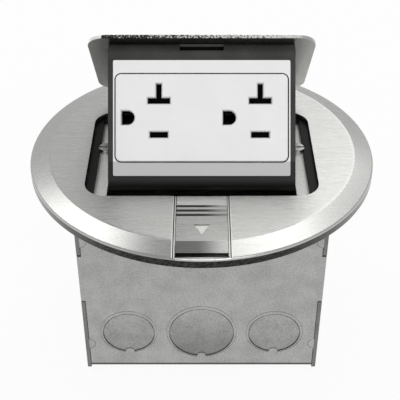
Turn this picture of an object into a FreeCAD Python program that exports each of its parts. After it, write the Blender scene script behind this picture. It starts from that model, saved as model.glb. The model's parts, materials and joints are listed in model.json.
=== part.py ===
import FreeCAD, Part
import math
import os
import Sketcher

# Floor socket box, millimetres. Origin: centre of the round cover on the finished floor,
# +X to the right, +Y to the hinge side, +Z up. The lid stands open, as it rests.

Vector = FreeCAD.Vector
doc = FreeCAD.newDocument("FloorSocketBox")
sheet = doc.addObject("Spreadsheet::Sheet", "Sizes")

DRIVING_SIZES = {
    # Round cover
    "cover_overhang": 4.55,
    "cover_top": 6.5,
    "bevel_drop": 2.0,
    "bevel_width": 7.5,
    "bevel_ease": 0.5,
    "rim_ease": 0.8,
    "seat_thick": 0.9,
    "seat_inset": 0.85,
    "shelf_width": 8.4,
    "front_shelf": 1.6,
    "rear_gap": 5.1,
    "opening_corner": 8.5,
    # Mounting plate under the cover and the seal on it
    "plate_thick": 1.6,
    "plate_margin": 7.85,
    "plate_gap": 0.2,
    "swing_gap": 1.05,
    "passage_gap": 0.02,
    "passage_set": 17.0,
    "passage_corner": 3.0,
    "ledge_width": 3.4,
    "seal_gap": 0.4,
    # Steel box
    "box_spread": 4.6,
    "box_lap": 0.4,
    "box_tail": 5.0,
    "box_bottom": 86.6,
    "box_wall": 1.6,
    "box_bend": 2.2,
    "foot_drop": 0.7,
    "strip_round": 1.2,
    "seam_gap": 0.25,
    "lug_top": 23.6,
    "lug_lift": 39.2,
    "lug_gap": 0.15,
    "notch_radius": 2.8,
    "notch_high": 16.1,
    "notch_lift": 14.3,
    "knockout_lift": 20.6,
    "knockout_large": 13.9,
    "knockout_small": 11.1,
    "knockout_side": 19.0,
    "score_width": 0.5,
    "score_depth": 1.0,
    "disc_depth": 0.3,
    "tie_radius": 1.9,
    "halo_gap": 1.1,
    "halo_rise": 0.6,
    "halo_width": 0.3,
    "halo_depth": 0.15,
    "ear_length": 16.0,
    "fixing_pitch": 50.0,
    "fixing_radius": 2.6,
    "fixing_drop": 14.0,
    # Hinge
    "hinge_back": 37.0,
    "hinge_drop": 8.85,
    "pin_radius": 1.5,
    "pin_run": 0.06,
    "pin_tail": 2.25,
    "boss_radius": 3.0,
    "bracket_wall": 1.6,
    "bracket_gap": 1.2,
    "bracket_width": 6.8,
    "bracket_foot": 7.0,
    "clip_thick": 0.8,
    "clip_radius": 2.9,
    "spring_wire": 0.5,
    "spring_radius": 2.4,
    "spring_pitch": 1.3,
    "spring_turns": 8.0,
    # Lid
    "open_angle": 50.0,
    "lid_gap": 1.0,
    "lid_lap": 1.4,
    "lid_thick": 1.5,
    "lid_corner": 8.0,
    # Carrier that holds the receptacle
    "face_tilt": 36.67,
    "face_reach": 64.0,
    "carrier_rim": 2.0,
    "carrier_wall": 1.5,
    "front_wall": 1.8,
    "chin_wall": 5.5,
    "chin_round": 4.0,
    "carrier_back": 27.0,
    "neck_high": 6.0,
    "arm_bend": 15.0,
    "arm_high": 5.5,
    "arm_low": 14.0,
    "catch_half": 8.5,
    "catch_below": 1.8,
    "catch_above": 1.3,
    # Face plate and receptacle
    "plate_side": 0.95,
    "plate_bottom": 5.5,
    "plate_top_rim": 5.3,
    "plate_face_corner": 0.6,
    "plate_proud": 0.5,
    "window_gap": 0.1,
    "device_margin": 13.58,
    "device_low": 17.3,
    "device_high": 16.2,
    "device_corner": 2.2,
    "device_proud": 0.9,
    "device_gap": 0.45,
    "device_skin": 4.0,
    "outlet_shift": 3.0,
    "outlet_pitch": 38.84,
    "blade_rise": 6.5,
    "blade_low": 6.5,
    "slot_thick": 2.3,
    "slot_wide": 7.0,
    "bar_wide": 8.6,
    "leg_wide": 2.1,
    "leg_high": 5.4,
    "earth_shift": 12.0,
    "earth_radius": 2.7,
    "earth_flat": 2.3,
    "slot_bevel": 0.45,
    "core_inset": 0.8,
    "core_lower": 1.5,
    "core_upper": 1.4,
    "core_depth": 21.0,
    "core_wall": 3.0,
    "shutter_thick": 1.0,
    "shutter_run": 0.15,
    "shutter_lap": 0.6,
    "shutter_foot": 0.55,
    "shutter_notch": 3.2,
    "shutter_travel": 9.3,
    "groove_near": 4.3,
    "groove_far": 13.2,
    "groove_hot": 8.6,
    "groove_reach": 5.5,
    "earth_groove": 3.0,
    # Contacts, strap and terminals
    "metal": 0.8,
    "metal_gap": 0.2,
    "blade_thick": 1.5,
    "clip_half": 3.3,
    "tab_half": 5.0,
    "tab_length": 12.0,
    "terminal_radius": 2.8,
    "terminal_rise": 1.8,
    "terminal_stem": 1.5,
    "rivet_radius": 1.8,
    "strap_thick": 1.1,
    "strap_half": 7.0,
    "strap_leg": 17.0,
    "strap_screw_set": 14.0,
    "strap_screw_radius": 1.4,
    "strap_screw_head": 2.5,
    "strap_screw_rise": 0.9,
    "cover_wall": 1.2,
    "wire_entry": 8.0,
    "wire_entry_drop": 12.0,
    # Latch
    "latch_half": 9.45,
    "latch_length": 32.0,
    "latch_border": 3.25,
    "latch_ramp": 5.6,
    "latch_sink": 0.2,
    "nose_drop": 1.5,
    "latch_gap": 0.3,
    "latch_lift": 0.1,
    "latch_travel": 2.0,
    "wing_reach": 1.1,
    "wing_rise": 1.0,
    "track_half": 10.9,
    "tongue_half": 8.0,
    "tongue_reach": 4.5,
    "tongue_rise": 1.0,
    "grip_start": 6.1,
    "grip_pitch": 2.7,
    "grip_width": 1.7,
    "grip_depth": 0.7,
    "arrow_set": 17.3,
    "arrow_length": 5.8,
    "arrow_half": 2.9,
    "arrow_depth": 0.3,
    # Screws
    "cover_screw_inset": 2.9,
    "cover_screw_y": 2.6,
    "cover_screw_radius": 2.0,
    "cover_screw_head": 2.7,
    "cover_screw_rise": 1.8,
    "cover_screw_length": 9.0,
    "screw_gap": 0.15,
    "flange_screw_out": 10.1,
    "flange_screw_y": 10.0,
    "flange_screw_radius": 1.6,
    "flange_screw_head": 3.0,
    "flange_screw_rise": 1.0,
    "flange_screw_length": 4.4,
    "lid_screw_side": 9.95,
    "lid_screw_set": 2.0,
    "lid_screw_rear": 11.0,
    "lid_screw_radius": 1.5,
    "lid_screw_head": 2.6,
    "lid_screw_rise": 1.6,
    "lid_screw_bite": 0.9,
    "earth_screw_side": 22.0,
    "earth_screw_y": 20.0,
    "earth_screw_radius": 2.0,
    "earth_screw_head": 4.0,
    "earth_screw_rise": 2.6,
    # Latch spring
    "well_half": 2.0,
    "well_length": 10.8,
    "well_set": 12.6,
    "well_rise": 2.6,
    "post_thick": 1.0,
    "post_rise": 2.3,
    "return_wire": 0.25,
    "return_radius": 0.95,
    "return_pitch": 0.95,
    "return_turns": 9.0,
}

DERIVED_SIZES = {
    # Across, from the receptacle outwards
    "device_half": "outlet_pitch / 2 + device_margin",
    "core_half": "device_half - core_inset",
    "plate_face_half": "device_half + plate_side",
    "carrier_half": "plate_face_half + carrier_rim",
    "passage_half": "carrier_half + swing_gap",
    "opening_half": "passage_half + shelf_width",
    "lid_half": "opening_half - lid_gap",
    "box_half": "opening_half + box_spread",
    "cover_screw_x": "passage_half + cover_screw_inset",
    "flange_screw_x": "opening_half + flange_screw_out",
    "lid_screw_x": "carrier_half - lid_screw_side",
    "knockout_pitch": "box_half - knockout_side",
    "earth_screw_x": "box_half - earth_screw_side",
    # Up the face of the carrier
    "lean": "open_angle - face_tilt",
    "core_low": "device_low - core_lower",
    "core_high": "device_high - core_upper",
    "plate_face_low": "device_low + plate_bottom",
    "plate_face_high": "device_high + plate_top_rim",
    "chin_drop": "plate_face_low + chin_wall",
    # Front to back, from the swing of the chin about the hinge
    "chin_reach": "sqrt(face_reach * face_reach + chin_drop * chin_drop)",
    "passage_front": "chin_reach - hinge_back + passage_gap",
    "passage_back": "hinge_back - passage_set",
    "opening_front": "passage_front + front_shelf",
    "opening_back": "passage_back + lid_lap + rear_gap",
    "lid_depth": "opening_front - lid_gap + passage_back + lid_lap",
    "box_front": "opening_front + box_lap",
    "box_back": "hinge_back + box_tail",
    "lid_screw_front": "face_reach - lid_screw_set",
    "lid_screw_back": "carrier_back + lid_screw_rear",
    "strap_screw_depth": "face_reach - strap_screw_set",
    # Latch, from the front of the opening
    "latch_end": "opening_front + latch_length",
    "latch_slope": "latch_end - latch_ramp",
    "grip_first": "opening_front + grip_start",
    "arrow_start": "opening_front + arrow_set",
    "arrow_tip": "arrow_start + arrow_length",
    "well_back": "opening_front + well_set",
    "well_front": "well_back + well_length",
    # Round cover, large enough for the box's corners and for the latch
    "corner_reach": "sqrt(box_half * box_half + box_back * box_back)",
    "cover_radius": "max(corner_reach + cover_overhang; latch_end + latch_border)",
    "plate_radius": "cover_radius - plate_margin",
    # Heights
    "rim_top": "cover_top - bevel_drop",
    "latch_nose": "cover_top - nose_drop",
    "ledge_rise": "cover_top - lid_thick - seat_thick - plate_thick - seal_gap",
    "lug_bottom": "box_bottom - lug_lift",
    "notch_low": "box_bottom - notch_lift",
    "knockout_depth": "box_bottom - knockout_lift",
    "tongue_middle": "seat_thick + plate_thick + latch_lift + tongue_rise / 2",
    "catch_arm": "(hinge_back + opening_front - tongue_reach) * sin(lean)",
    "catch_middle": "catch_arm + (tongue_middle + hinge_drop) * cos(lean)",
    "catch_low": "catch_middle - catch_below",
    "catch_high": "catch_middle + catch_above",
}


class Size:
    """A number together with the expression that gives it from the sheet."""

    def __init__(self, value, text):
        self.value = value
        self.text = text

    def joined(self, other, sign, swap=False):
        other = other if isinstance(other, Size) else Size(other, repr(float(other)))
        first, second = (other, self) if swap else (self, other)
        results = {
            "+": lambda a, b: a + b,
            "-": lambda a, b: a - b,
            "*": lambda a, b: a * b,
            "/": lambda a, b: a / b,
        }
        value = results[sign](first.value, second.value)
        return Size(value, "(" + first.text + " " + sign + " " + second.text + ")")

    def __add__(self, other):
        return self.joined(other, "+")

    def __radd__(self, other):
        return self.joined(other, "+", True)

    def __sub__(self, other):
        return self.joined(other, "-")

    def __rsub__(self, other):
        return self.joined(other, "-", True)

    def __mul__(self, other):
        return self.joined(other, "*")

    def __rmul__(self, other):
        return self.joined(other, "*", True)

    def __truediv__(self, other):
        return self.joined(other, "/")

    def __neg__(self):
        return self.joined(-1.0, "*")


def fill_sheet():
    """Writes the driving sizes and the formulas to the sheet and returns all by name."""
    formulas = {alias: "=" + text for alias, text in DERIVED_SIZES.items()}
    cells = {alias: str(size) for alias, size in DRIVING_SIZES.items()}
    cells.update(formulas)
    for row, (alias, content) in enumerate(cells.items(), start=1):
        sheet.set("A%d" % row, alias)
        sheet.setAlias("B%d" % row, alias)
        sheet.set("B%d" % row, content)
    doc.recompute()
    return {alias: Size(float(sheet.get(alias)), "Sizes." + alias) for alias in cells}


S = fill_sheet()


def number(size):
    return size.value if isinstance(size, Size) else float(size)


def bind(thing, prop, size):
    """Ties one property to the sheet."""
    if isinstance(size, Size):
        thing.setExpression(prop, size.text)
    else:
        setattr(thing, prop, size)


def sine(size):
    return Size(math.sin(math.radians(size.value)), "sin(" + size.text + ")")


def cosine(size):
    return Size(math.cos(math.radians(size.value)), "cos(" + size.text + ")")


ZERO = S["cover_top"] * 0.0

# Heights and places that several pieces share
plate_under = S["seat_thick"]
plate_top = S["seat_thick"] + S["plate_thick"]
track_end = S["latch_end"] + S["latch_travel"] + S["latch_sink"]
hinge_z = -S["hinge_drop"]
box_inside = S["box_half"] - S["box_wall"]
lid_top = S["cover_top"] + S["hinge_drop"]
lid_under = lid_top - S["lid_thick"]
lid_front = S["lid_gap"] - S["opening_front"] - S["hinge_back"]
lid_back = lid_front + S["lid_depth"]
lean = S["lean"]
device_front = S["face_reach"] + S["device_proud"]
core_front = S["face_reach"] + S["device_proud"] - S["device_skin"]
core_back = core_front - S["core_depth"]
contact_tip = S["shutter_thick"] + S["shutter_run"] * 2 + S["metal_gap"] - core_front
device_middle = (S["device_high"] - S["device_low"]) / 2
arm_inside = S["carrier_half"] - S["carrier_wall"]
bracket_inside = S["carrier_half"] + S["bracket_gap"]
bracket_outside = bracket_inside + S["bracket_wall"]


def roof(depth, below=0.0):
    """Height of the lid's underside at a depth in the carrier's own frame."""
    return (lid_under - below - depth * sine(lean)) / cosine(lean)


def tilt(thing, angle):
    """Places a piece of the swinging lid: hung on the hinge axis, turned open."""
    place = Vector(0, S["hinge_back"].value, hinge_z.value)
    turn = FreeCAD.Rotation(Vector(-1, 0, 0), angle.value)
    thing.Placement = FreeCAD.Placement(place, turn)
    thing.setExpression("Placement.Base.y", S["hinge_back"].text)
    thing.setExpression("Placement.Base.z", hinge_z.text)
    thing.setExpression("Placement.Rotation.Angle", angle.text)


def hang_lid(thing):
    tilt(thing, S["open_angle"])


def hang_carrier(thing):
    tilt(thing, S["face_tilt"])


NODES = []


def finish(thing, label):
    """Names a finished sub-part."""
    thing.Label = label
    NODES.append(thing)
    return thing


def new_body(label):
    body = doc.addObject("PartDesign::Body", label)
    return finish(body, label)


def new_sketch(body, role, offset=None):
    """Sketch on one of the body's own origin planes, moved along its normal."""
    sketch = body.newObject("Sketcher::SketchObject", body.Label + "_sketch")
    plane = [f for f in body.Origin.OriginFeatures if f.Role == role][0]
    sketch.AttachmentSupport = [(plane, "")]
    sketch.MapMode = "FlatFace"
    if offset is not None:
        sketch.AttachmentOffset = FreeCAD.Placement(
            Vector(0, 0, number(offset)), FreeCAD.Rotation()
        )
        if isinstance(offset, Size):
            sketch.setExpression("AttachmentOffset.Base.z", offset.text)
    return sketch


def fix_point(sketch, geo, end, x, y):
    """Holds a sketch point at two sizes measured from the sketch's origin."""
    for kind, size in (("DistanceX", x), ("DistanceY", y)):
        index = sketch.addConstraint(
            Sketcher.Constraint(kind, -1, 1, geo, end, number(size))
        )
        if isinstance(size, Size):
            sketch.setExpression("Constraints[%d]" % index, size.text)


def outline(sketch, points):
    """Closed outline of straight runs."""
    spots = [Vector(number(x), number(y), 0) for x, y in points]
    first = sketch.GeometryCount
    for here, there in zip(spots, spots[1:] + spots[:1]):
        sketch.addGeometry(Part.LineSegment(here, there))
    count = len(points)
    for step in range(count):
        following = first + (step + 1) % count
        sketch.addConstraint(
            Sketcher.Constraint("Coincident", first + step, 2, following, 1)
        )
    for step, (x, y) in enumerate(points):
        fix_point(sketch, first + step, 1, x, y)


def rectangle(sketch, left, right, low, high):
    outline(sketch, [(left, low), (right, low), (right, high), (left, high)])


def circle(sketch, x, y, radius):
    geo = sketch.addGeometry(
        Part.Circle(Vector(number(x), number(y), 0), Vector(0, 0, 1), number(radius))
    )
    fix_point(sketch, geo, 3, x, y)
    index = sketch.addConstraint(Sketcher.Constraint("Radius", geo, number(radius)))
    if isinstance(radius, Size):
        sketch.setExpression("Constraints[%d]" % index, radius.text)


def feature(body, kind, sketch, length=None, midplane=False, reverse=False):
    """Pad or pocket of a sketch; a pocket with no length goes all the way."""
    made = body.newObject("PartDesign::" + kind, body.Label + "_" + kind.lower())
    made.Profile = sketch
    if length is None:
        made.Type = "ThroughAll"
    else:
        bind(made, "Length", length)
    if midplane:
        made.Midplane = True
    made.Reversed = reverse
    doc.recompute()
    return made


def cut_into(body, sketch, length=None, midplane=False, reverse=False):
    """Pocket that is checked to have removed something."""
    before = body.Shape.Volume
    made = feature(body, "Pocket", sketch, length, midplane, reverse)
    if before - body.Shape.Volume < 1e-6:
        raise RuntimeError("a pocket of " + body.Label + " cut nothing")
    return made


def ease(body, kind, size, chosen):
    """Fillet or chamfer on the edges of the body's last feature that are chosen."""
    base = body.Tip
    names = [
        "Edge%d" % (index + 1)
        for index, edge in enumerate(base.Shape.Edges)
        if chosen(edge)
    ]
    made = body.newObject("PartDesign::" + kind, body.Label + "_" + kind.lower())
    made.Base = (base, names)
    bind(made, "Radius" if kind == "Fillet" else "Size", size)
    doc.recompute()
    return made


def runs_along(edge, axis):
    """True for a straight edge along an axis, 0 for X, 1 for Y and 2 for Z."""
    if edge.Curve.TypeId != "Part::GeomLine":
        return False
    return abs(abs(edge.Curve.Direction[axis]) - 1) < 1e-6


def near(value, size):
    return abs(value - number(size)) < 1e-4


def box_solid(label, x, y, z):
    """Plain block from pairs of low and high sizes."""
    made = doc.addObject("Part::Box", label)
    for prop, place, (low, high) in zip(("Length", "Width", "Height"), "xyz", (x, y, z)):
        made.setExpression(prop, ((ZERO + high) - low).text)
        made.setExpression("Placement.Base." + place, (ZERO + low).text)
    return made


def rod(label, radius, length, place, axis):
    """Cylinder from a place along an axis."""
    made = doc.addObject("Part::Cylinder", label)
    bind(made, "Radius", radius)
    bind(made, "Height", length)
    turn = FreeCAD.Rotation(Vector(0, 0, 1), Vector(*axis))
    made.Placement = FreeCAD.Placement(Vector(*[number(p) for p in place]), turn)
    for letter, size in zip("xyz", place):
        made.setExpression("Placement.Base." + letter, (ZERO + size).text)
    return made


def joined(label, shapes):
    if len(shapes) == 1:
        return shapes[0]
    made = doc.addObject("Part::MultiFuse", label)
    made.Shapes = shapes
    return made


def less(label, base, tools):
    made = doc.addObject("Part::Cut", label)
    made.Base = base
    made.Tool = joined(label + "_tools", tools)
    return made


def group(label, things):
    """Separate solids of one kind in one sub-part."""
    made = doc.addObject("Part::Compound", label)
    made.Links = things
    return finish(made, label)


def make_cover_flange():
    """Turned round cover with the lid opening, the latch track and the plate's seat."""
    body = new_body("cover_flange")
    profile = new_sketch(body, "XZ_Plane")
    rim = S["cover_radius"]
    outline(
        profile,
        [
            (ZERO, plate_under),
            (rim, plate_under),
            (rim, S["rim_top"]),
            (rim - S["bevel_width"], S["cover_top"]),
            (ZERO, S["cover_top"]),
        ],
    )
    turned = body.newObject("PartDesign::Revolution", "cover_turned")
    turned.Profile = profile
    turned.ReferenceAxis = (profile, ["V_Axis"])
    turned.Angle = 360.0
    doc.recompute()
    ease(body, "Fillet", S["rim_ease"], lambda e: is_ring(e, S["rim_top"]))
    ease(body, "Fillet", S["bevel_ease"], lambda e: is_ring(e, S["cover_top"]))
    seat = new_sketch(body, "XY_Plane", plate_under)
    circle(seat, ZERO, ZERO, S["plate_radius"] + S["plate_gap"])
    cut_into(body, seat, S["plate_thick"], reverse=True)
    opening = new_sketch(body, "XY_Plane")
    rounded(
        opening,
        -S["opening_half"],
        S["opening_half"],
        -S["opening_front"],
        S["opening_back"],
        S["opening_corner"],
    )
    cut_into(body, opening, midplane=True)
    track = new_sketch(body, "XY_Plane", S["cover_top"])
    rectangle(
        track,
        -S["track_half"],
        S["track_half"],
        -track_end,
        -(S["opening_front"] - S["box_wall"]),
    )
    cut_into(body, track, S["cover_top"] - plate_top)
    holes = new_sketch(body, "XY_Plane", plate_under)
    for x, y in flange_screw_places():
        circle(holes, x, y, S["flange_screw_radius"] + S["pin_run"])
    cut_into(body, holes, S["flange_screw_length"] + S["screw_gap"], reverse=True)


def flange_screw_places():
    """Places of the four screws that hold the plate to the cover."""
    return [
        (side * S["flange_screw_x"], end * S["flange_screw_y"])
        for side in (-1, 1)
        for end in (-1, 1)
    ]


def is_ring(edge, height):
    """True for a level circle about the middle of the cover at a height."""
    if edge.Curve.TypeId != "Part::GeomCircle":
        return False
    middle = edge.Curve.Center
    level = near(middle.z, height) and abs(middle.x) < 1e-4 and abs(middle.y) < 1e-4
    return level and edge.Curve.Radius > S["opening_half"].value


def rounded(sketch, left, right, low, high, corner):
    """Rectangle with equal rounded corners."""
    x0, x1, y0, y1, r = (number(v) for v in (left, right, low, high, corner))
    first = sketch.GeometryCount
    lines = [
        (Vector(x0 + r, y0), Vector(x1 - r, y0)),
        (Vector(x1, y0 + r), Vector(x1, y1 - r)),
        (Vector(x1 - r, y1), Vector(x0 + r, y1)),
        (Vector(x0, y1 - r), Vector(x0, y0 + r)),
    ]
    for start, end in lines:
        sketch.addGeometry(Part.LineSegment(start, end))
    arcs = [
        (Vector(x1 - r, y0 + r), -90),
        (Vector(x1 - r, y1 - r), 0),
        (Vector(x0 + r, y1 - r), 90),
        (Vector(x0 + r, y0 + r), 180),
    ]
    for middle, start in arcs:
        whole = Part.Circle(middle, Vector(0, 0, 1), r)
        begin = math.radians(start)
        sketch.addGeometry(Part.ArcOfCircle(whole, begin, begin + math.pi / 2))
    for side in range(4):
        arc = first + 4 + side
        following = first + (side + 1) % 4
        sketch.addConstraint(Sketcher.Constraint("Tangent", first + side, 2, arc, 1))
        sketch.addConstraint(Sketcher.Constraint("Tangent", arc, 2, following, 1))
        level = "Horizontal" if side % 2 == 0 else "Vertical"
        sketch.addConstraint(Sketcher.Constraint(level, first + side))
        if side:
            sketch.addConstraint(Sketcher.Constraint("Equal", first + 4, arc))
    index = sketch.addConstraint(Sketcher.Constraint("Radius", first + 4, r))
    if isinstance(corner, Size):
        sketch.setExpression("Constraints[%d]" % index, corner.text)
    holds = (
        ("DistanceY", first, low, y0),
        ("DistanceX", first + 1, right, x1),
        ("DistanceY", first + 2, high, y1),
        ("DistanceX", first + 3, left, x0),
    )
    for kind, geo, size, start in holds:
        index = sketch.addConstraint(Sketcher.Constraint(kind, -1, 1, geo, 1, start))
        if isinstance(size, Size):
            sketch.setExpression("Constraints[%d]" % index, size.text)


def make_floor_gasket():
    """Flat seal between the cover and the floor, cut out round the box."""
    body = new_body("floor_gasket")
    sketch = new_sketch(body, "XY_Plane")
    circle(sketch, ZERO, ZERO, S["cover_radius"] - S["seat_inset"])
    gap = S["lug_gap"] * 4
    rectangle(
        sketch,
        -(S["box_half"] + gap),
        S["box_half"] + gap,
        -(S["box_front"] + gap),
        S["box_back"] + gap,
    )
    feature(body, "Pad", sketch, S["seat_thick"])


def make_mounting_plate():
    """Zinc-plated disc that joins cover, box and hinge, with the swing passage."""
    body = new_body("mounting_plate")
    sketch = new_sketch(body, "XY_Plane", plate_under)
    circle(sketch, ZERO, ZERO, S["plate_radius"])
    rounded(
        sketch,
        -S["passage_half"],
        S["passage_half"],
        -S["passage_front"],
        S["passage_back"],
        S["passage_corner"],
    )
    feature(body, "Pad", sketch, S["plate_thick"])
    holes = new_sketch(body, "XY_Plane", plate_under)
    for side in (-1, 1):
        circle(
            holes,
            side * S["cover_screw_x"],
            S["cover_screw_y"],
            S["cover_screw_radius"] + S["screw_gap"],
        )
    for x, y in flange_screw_places():
        circle(holes, x, y, S["flange_screw_radius"] + S["screw_gap"])
    cut_into(body, holes, S["plate_thick"], reverse=True)
    sinks = new_sketch(body, "XY_Plane", plate_under)
    for x, y in flange_screw_places():
        circle(sinks, x, y, S["flange_screw_head"] + S["screw_gap"])
    cut_into(body, sinks, S["flange_screw_rise"], reverse=True)
    post = new_sketch(body, "XY_Plane", plate_top)
    half = S["well_half"] - S["screw_gap"]
    front = S["screw_gap"] - S["well_front"]
    rectangle(post, -half, half, front, front + S["post_thick"])
    feature(body, "Pad", post, S["post_rise"])


def make_lid_gasket():
    """Black seal that lines the sides and the back of the opening under the lid."""
    body = new_body("lid_gasket")
    gap = S["plate_gap"]
    sketch = new_sketch(body, "XY_Plane", plate_top)
    rounded(
        sketch,
        gap - S["opening_half"],
        S["opening_half"] - gap,
        gap - S["opening_front"],
        S["opening_back"] - gap,
        S["opening_corner"] - gap,
    )
    feature(body, "Pad", sketch, S["ledge_rise"])
    inner = new_sketch(body, "XY_Plane", plate_top)
    width = S["ledge_width"]
    rectangle(
        inner,
        width - S["opening_half"],
        S["opening_half"] - width,
        -(S["opening_front"] + width),
        S["opening_back"] - width,
    )
    cut_into(body, inner, S["ledge_rise"], reverse=True)
    reliefs = new_sketch(body, "XY_Plane", plate_top)
    for side in (-1, 1):
        circle(
            reliefs,
            side * S["cover_screw_x"],
            S["cover_screw_y"],
            S["cover_screw_head"] + S["screw_gap"],
        )
    cut_into(body, reliefs, S["ledge_rise"], reverse=True)


def make_cover_screws():
    """Pan-head screws through the plate into the ears of the box."""
    screws = []
    for side in (-1, 1):
        x = side * S["cover_screw_x"]
        y = S["cover_screw_y"]
        head = rod(
            "cover_screw_head",
            S["cover_screw_head"],
            S["cover_screw_rise"],
            (x, y, plate_top),
            (0, 0, 1),
        )
        shank = rod(
            "cover_screw_shank",
            S["cover_screw_radius"],
            S["cover_screw_length"],
            (x, y, plate_top - S["cover_screw_length"]),
            (0, 0, 1),
        )
        whole = joined("cover_screw", [head, shank])
        half = S["cover_screw_head"]
        slot = box_solid(
            "cover_screw_slot",
            (x - half, x + half),
            (y - half * 0.18, y + half * 0.18),
            (
                plate_top + S["cover_screw_rise"] * 0.45,
                plate_top + S["cover_screw_rise"] * 2,
            ),
        )
        screws.append(less("cover_screw_cut", whole, [slot]))
    group("cover_screws", screws)


def make_box_body():
    """Folded steel front, bottom and back with scored knockouts."""
    body = new_body("box_body")
    wall = S["box_wall"]
    front = S["box_front"]
    back = S["box_back"]
    bottom = -S["box_bottom"]
    profile = new_sketch(body, "YZ_Plane")
    outline(
        profile,
        [
            (-front, plate_under),
            (-front, bottom),
            (back, bottom),
            (back, plate_under),
            (back - wall, plate_under),
            (back - wall, bottom + wall),
            (wall - front, bottom + wall),
            (wall - front, plate_under),
        ],
    )
    feature(body, "Pad", profile, (box_inside - S["seam_gap"]) * 2, midplane=True)
    for plane in (front, wall - back):
        lugs = new_sketch(body, "XZ_Plane", plane)
        rectangle(lugs, -S["box_half"], S["box_half"], -S["lug_bottom"], -S["lug_top"])
        feature(body, "Pad", lugs, wall, reverse=True)
    ease(
        body,
        "Fillet",
        S["box_bend"],
        lambda e: runs_along(e, 0)
        and near(e.CenterOfMass.z, bottom)
        and e.Length > box_inside.value,
    )
    notches = new_sketch(body, "XZ_Plane")
    for side in (-1, 1):
        for height in (S["notch_high"], S["notch_low"]):
            circle(notches, side * box_inside, -height, S["notch_radius"])
    cut_into(body, notches, midplane=True)
    hole = new_sketch(body, "XY_Plane", bottom)
    circle(hole, S["earth_screw_x"], S["earth_screw_y"], S["earth_screw_radius"] + S["pin_run"])
    cut_into(body, hole, wall, reverse=True)
    for plane, reverse in ((front, False), (-back, True)):
        score_knockouts(body, "XZ_Plane", plane, knockouts(), reverse)


def score_knockouts(body, role, plane, discs, reverse):
    """Punched discs in a wall, each held by one half-round tie at its foot."""
    middle = -S["knockout_depth"]
    halo = new_sketch(body, role, plane)
    score = new_sketch(body, role, plane)
    disc = new_sketch(body, role, plane)
    tie = new_sketch(body, role, plane)
    for x, radius in discs:
        outer = radius + S["halo_gap"]
        circle(halo, x, middle + S["halo_rise"], outer)
        circle(halo, x, middle + S["halo_rise"], outer - S["halo_width"])
        circle(score, x, middle, radius)
        circle(score, x, middle, radius - S["score_width"])
        circle(disc, x, middle, radius - S["score_width"] / 2)
        circle(tie, x, middle - radius, S["tie_radius"])
    cut_into(body, halo, S["halo_depth"], reverse=reverse)
    cut_into(body, score, S["score_depth"], reverse=reverse)
    cut_into(body, disc, S["disc_depth"], reverse=reverse)
    feature(body, "Pad", tie, S["score_depth"], reverse=not reverse)


def knockouts():
    """Places and radii of the three knockouts across a wall."""
    return [
        (-S["knockout_pitch"], S["knockout_small"]),
        (ZERO, S["knockout_large"]),
        (S["knockout_pitch"], S["knockout_small"]),
    ]


def make_box_end(label, side):
    """Flat steel end with a folded ear for the cover screw and two fixing holes."""
    body = new_body(label)
    wall = S["box_wall"]
    gap = S["lug_gap"]
    front = S["box_front"]
    back = S["box_back"]
    low = -(S["box_bottom"] + S["foot_drop"])
    lug_low = -(S["lug_bottom"] + gap)
    lug_high = gap - S["lug_top"]
    step = wall + gap
    start = box_inside if side > 0 else S["box_half"]
    sketch = new_sketch(body, "YZ_Plane", side * start)
    outline(
        sketch,
        [
            (-front, plate_under),
            (-front, lug_high),
            (step - front, lug_high),
            (step - front, lug_low),
            (-front, lug_low),
            (-front, low),
            (back, low),
            (back, lug_low),
            (back - step, lug_low),
            (back - step, lug_high),
            (back, lug_high),
            (back, plate_under),
        ],
    )
    feature(body, "Pad", sketch, wall)
    ends = (lug_high, lug_low, low)
    ease(
        body,
        "Fillet",
        S["strip_round"],
        lambda e: runs_along(e, 0)
        and (near(e.CenterOfMass.y, -front) or near(e.CenterOfMass.y, back))
        and any(near(e.CenterOfMass.z, end) for end in ends),
    )
    for plane in (front, wall - back):
        tabs = new_sketch(body, "XZ_Plane", plane)
        for height in (S["notch_high"], S["notch_low"]):
            circle(tabs, side * box_inside, -height, S["notch_radius"] - gap)
        feature(body, "Pad", tabs, wall, reverse=True)
    trim = new_sketch(body, "XZ_Plane")
    edges = sorted((side * S["box_half"], side * (S["box_half"] + wall * 2)), key=number)
    rectangle(trim, edges[0], edges[1], low, -gap)
    cut_into(body, trim, midplane=True)
    ear = new_sketch(body, "XY_Plane", plate_under)
    reach = S["passage_half"]
    middle = S["cover_screw_y"]
    half = S["ear_length"] / 2
    edges = sorted((side * S["box_half"], side * reach), key=number)
    rectangle(ear, edges[0], edges[1], middle - half, middle + half)
    circle(
        ear,
        side * S["cover_screw_x"],
        middle,
        S["cover_screw_radius"] + S["pin_run"],
    )
    feature(body, "Pad", ear, wall, reverse=True)
    holes = new_sketch(body, "YZ_Plane", side * start)
    centre = (back - front) / 2
    for turn in (-1, 1):
        y = centre + turn * S["fixing_pitch"] / 2
        circle(holes, y, -S["fixing_drop"], S["fixing_radius"])
    cut_into(body, holes, wall, reverse=True)
    discs = [(centre, S["knockout_small"])]
    score_knockouts(body, "YZ_Plane", side * S["box_half"], discs, side < 0)


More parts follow.
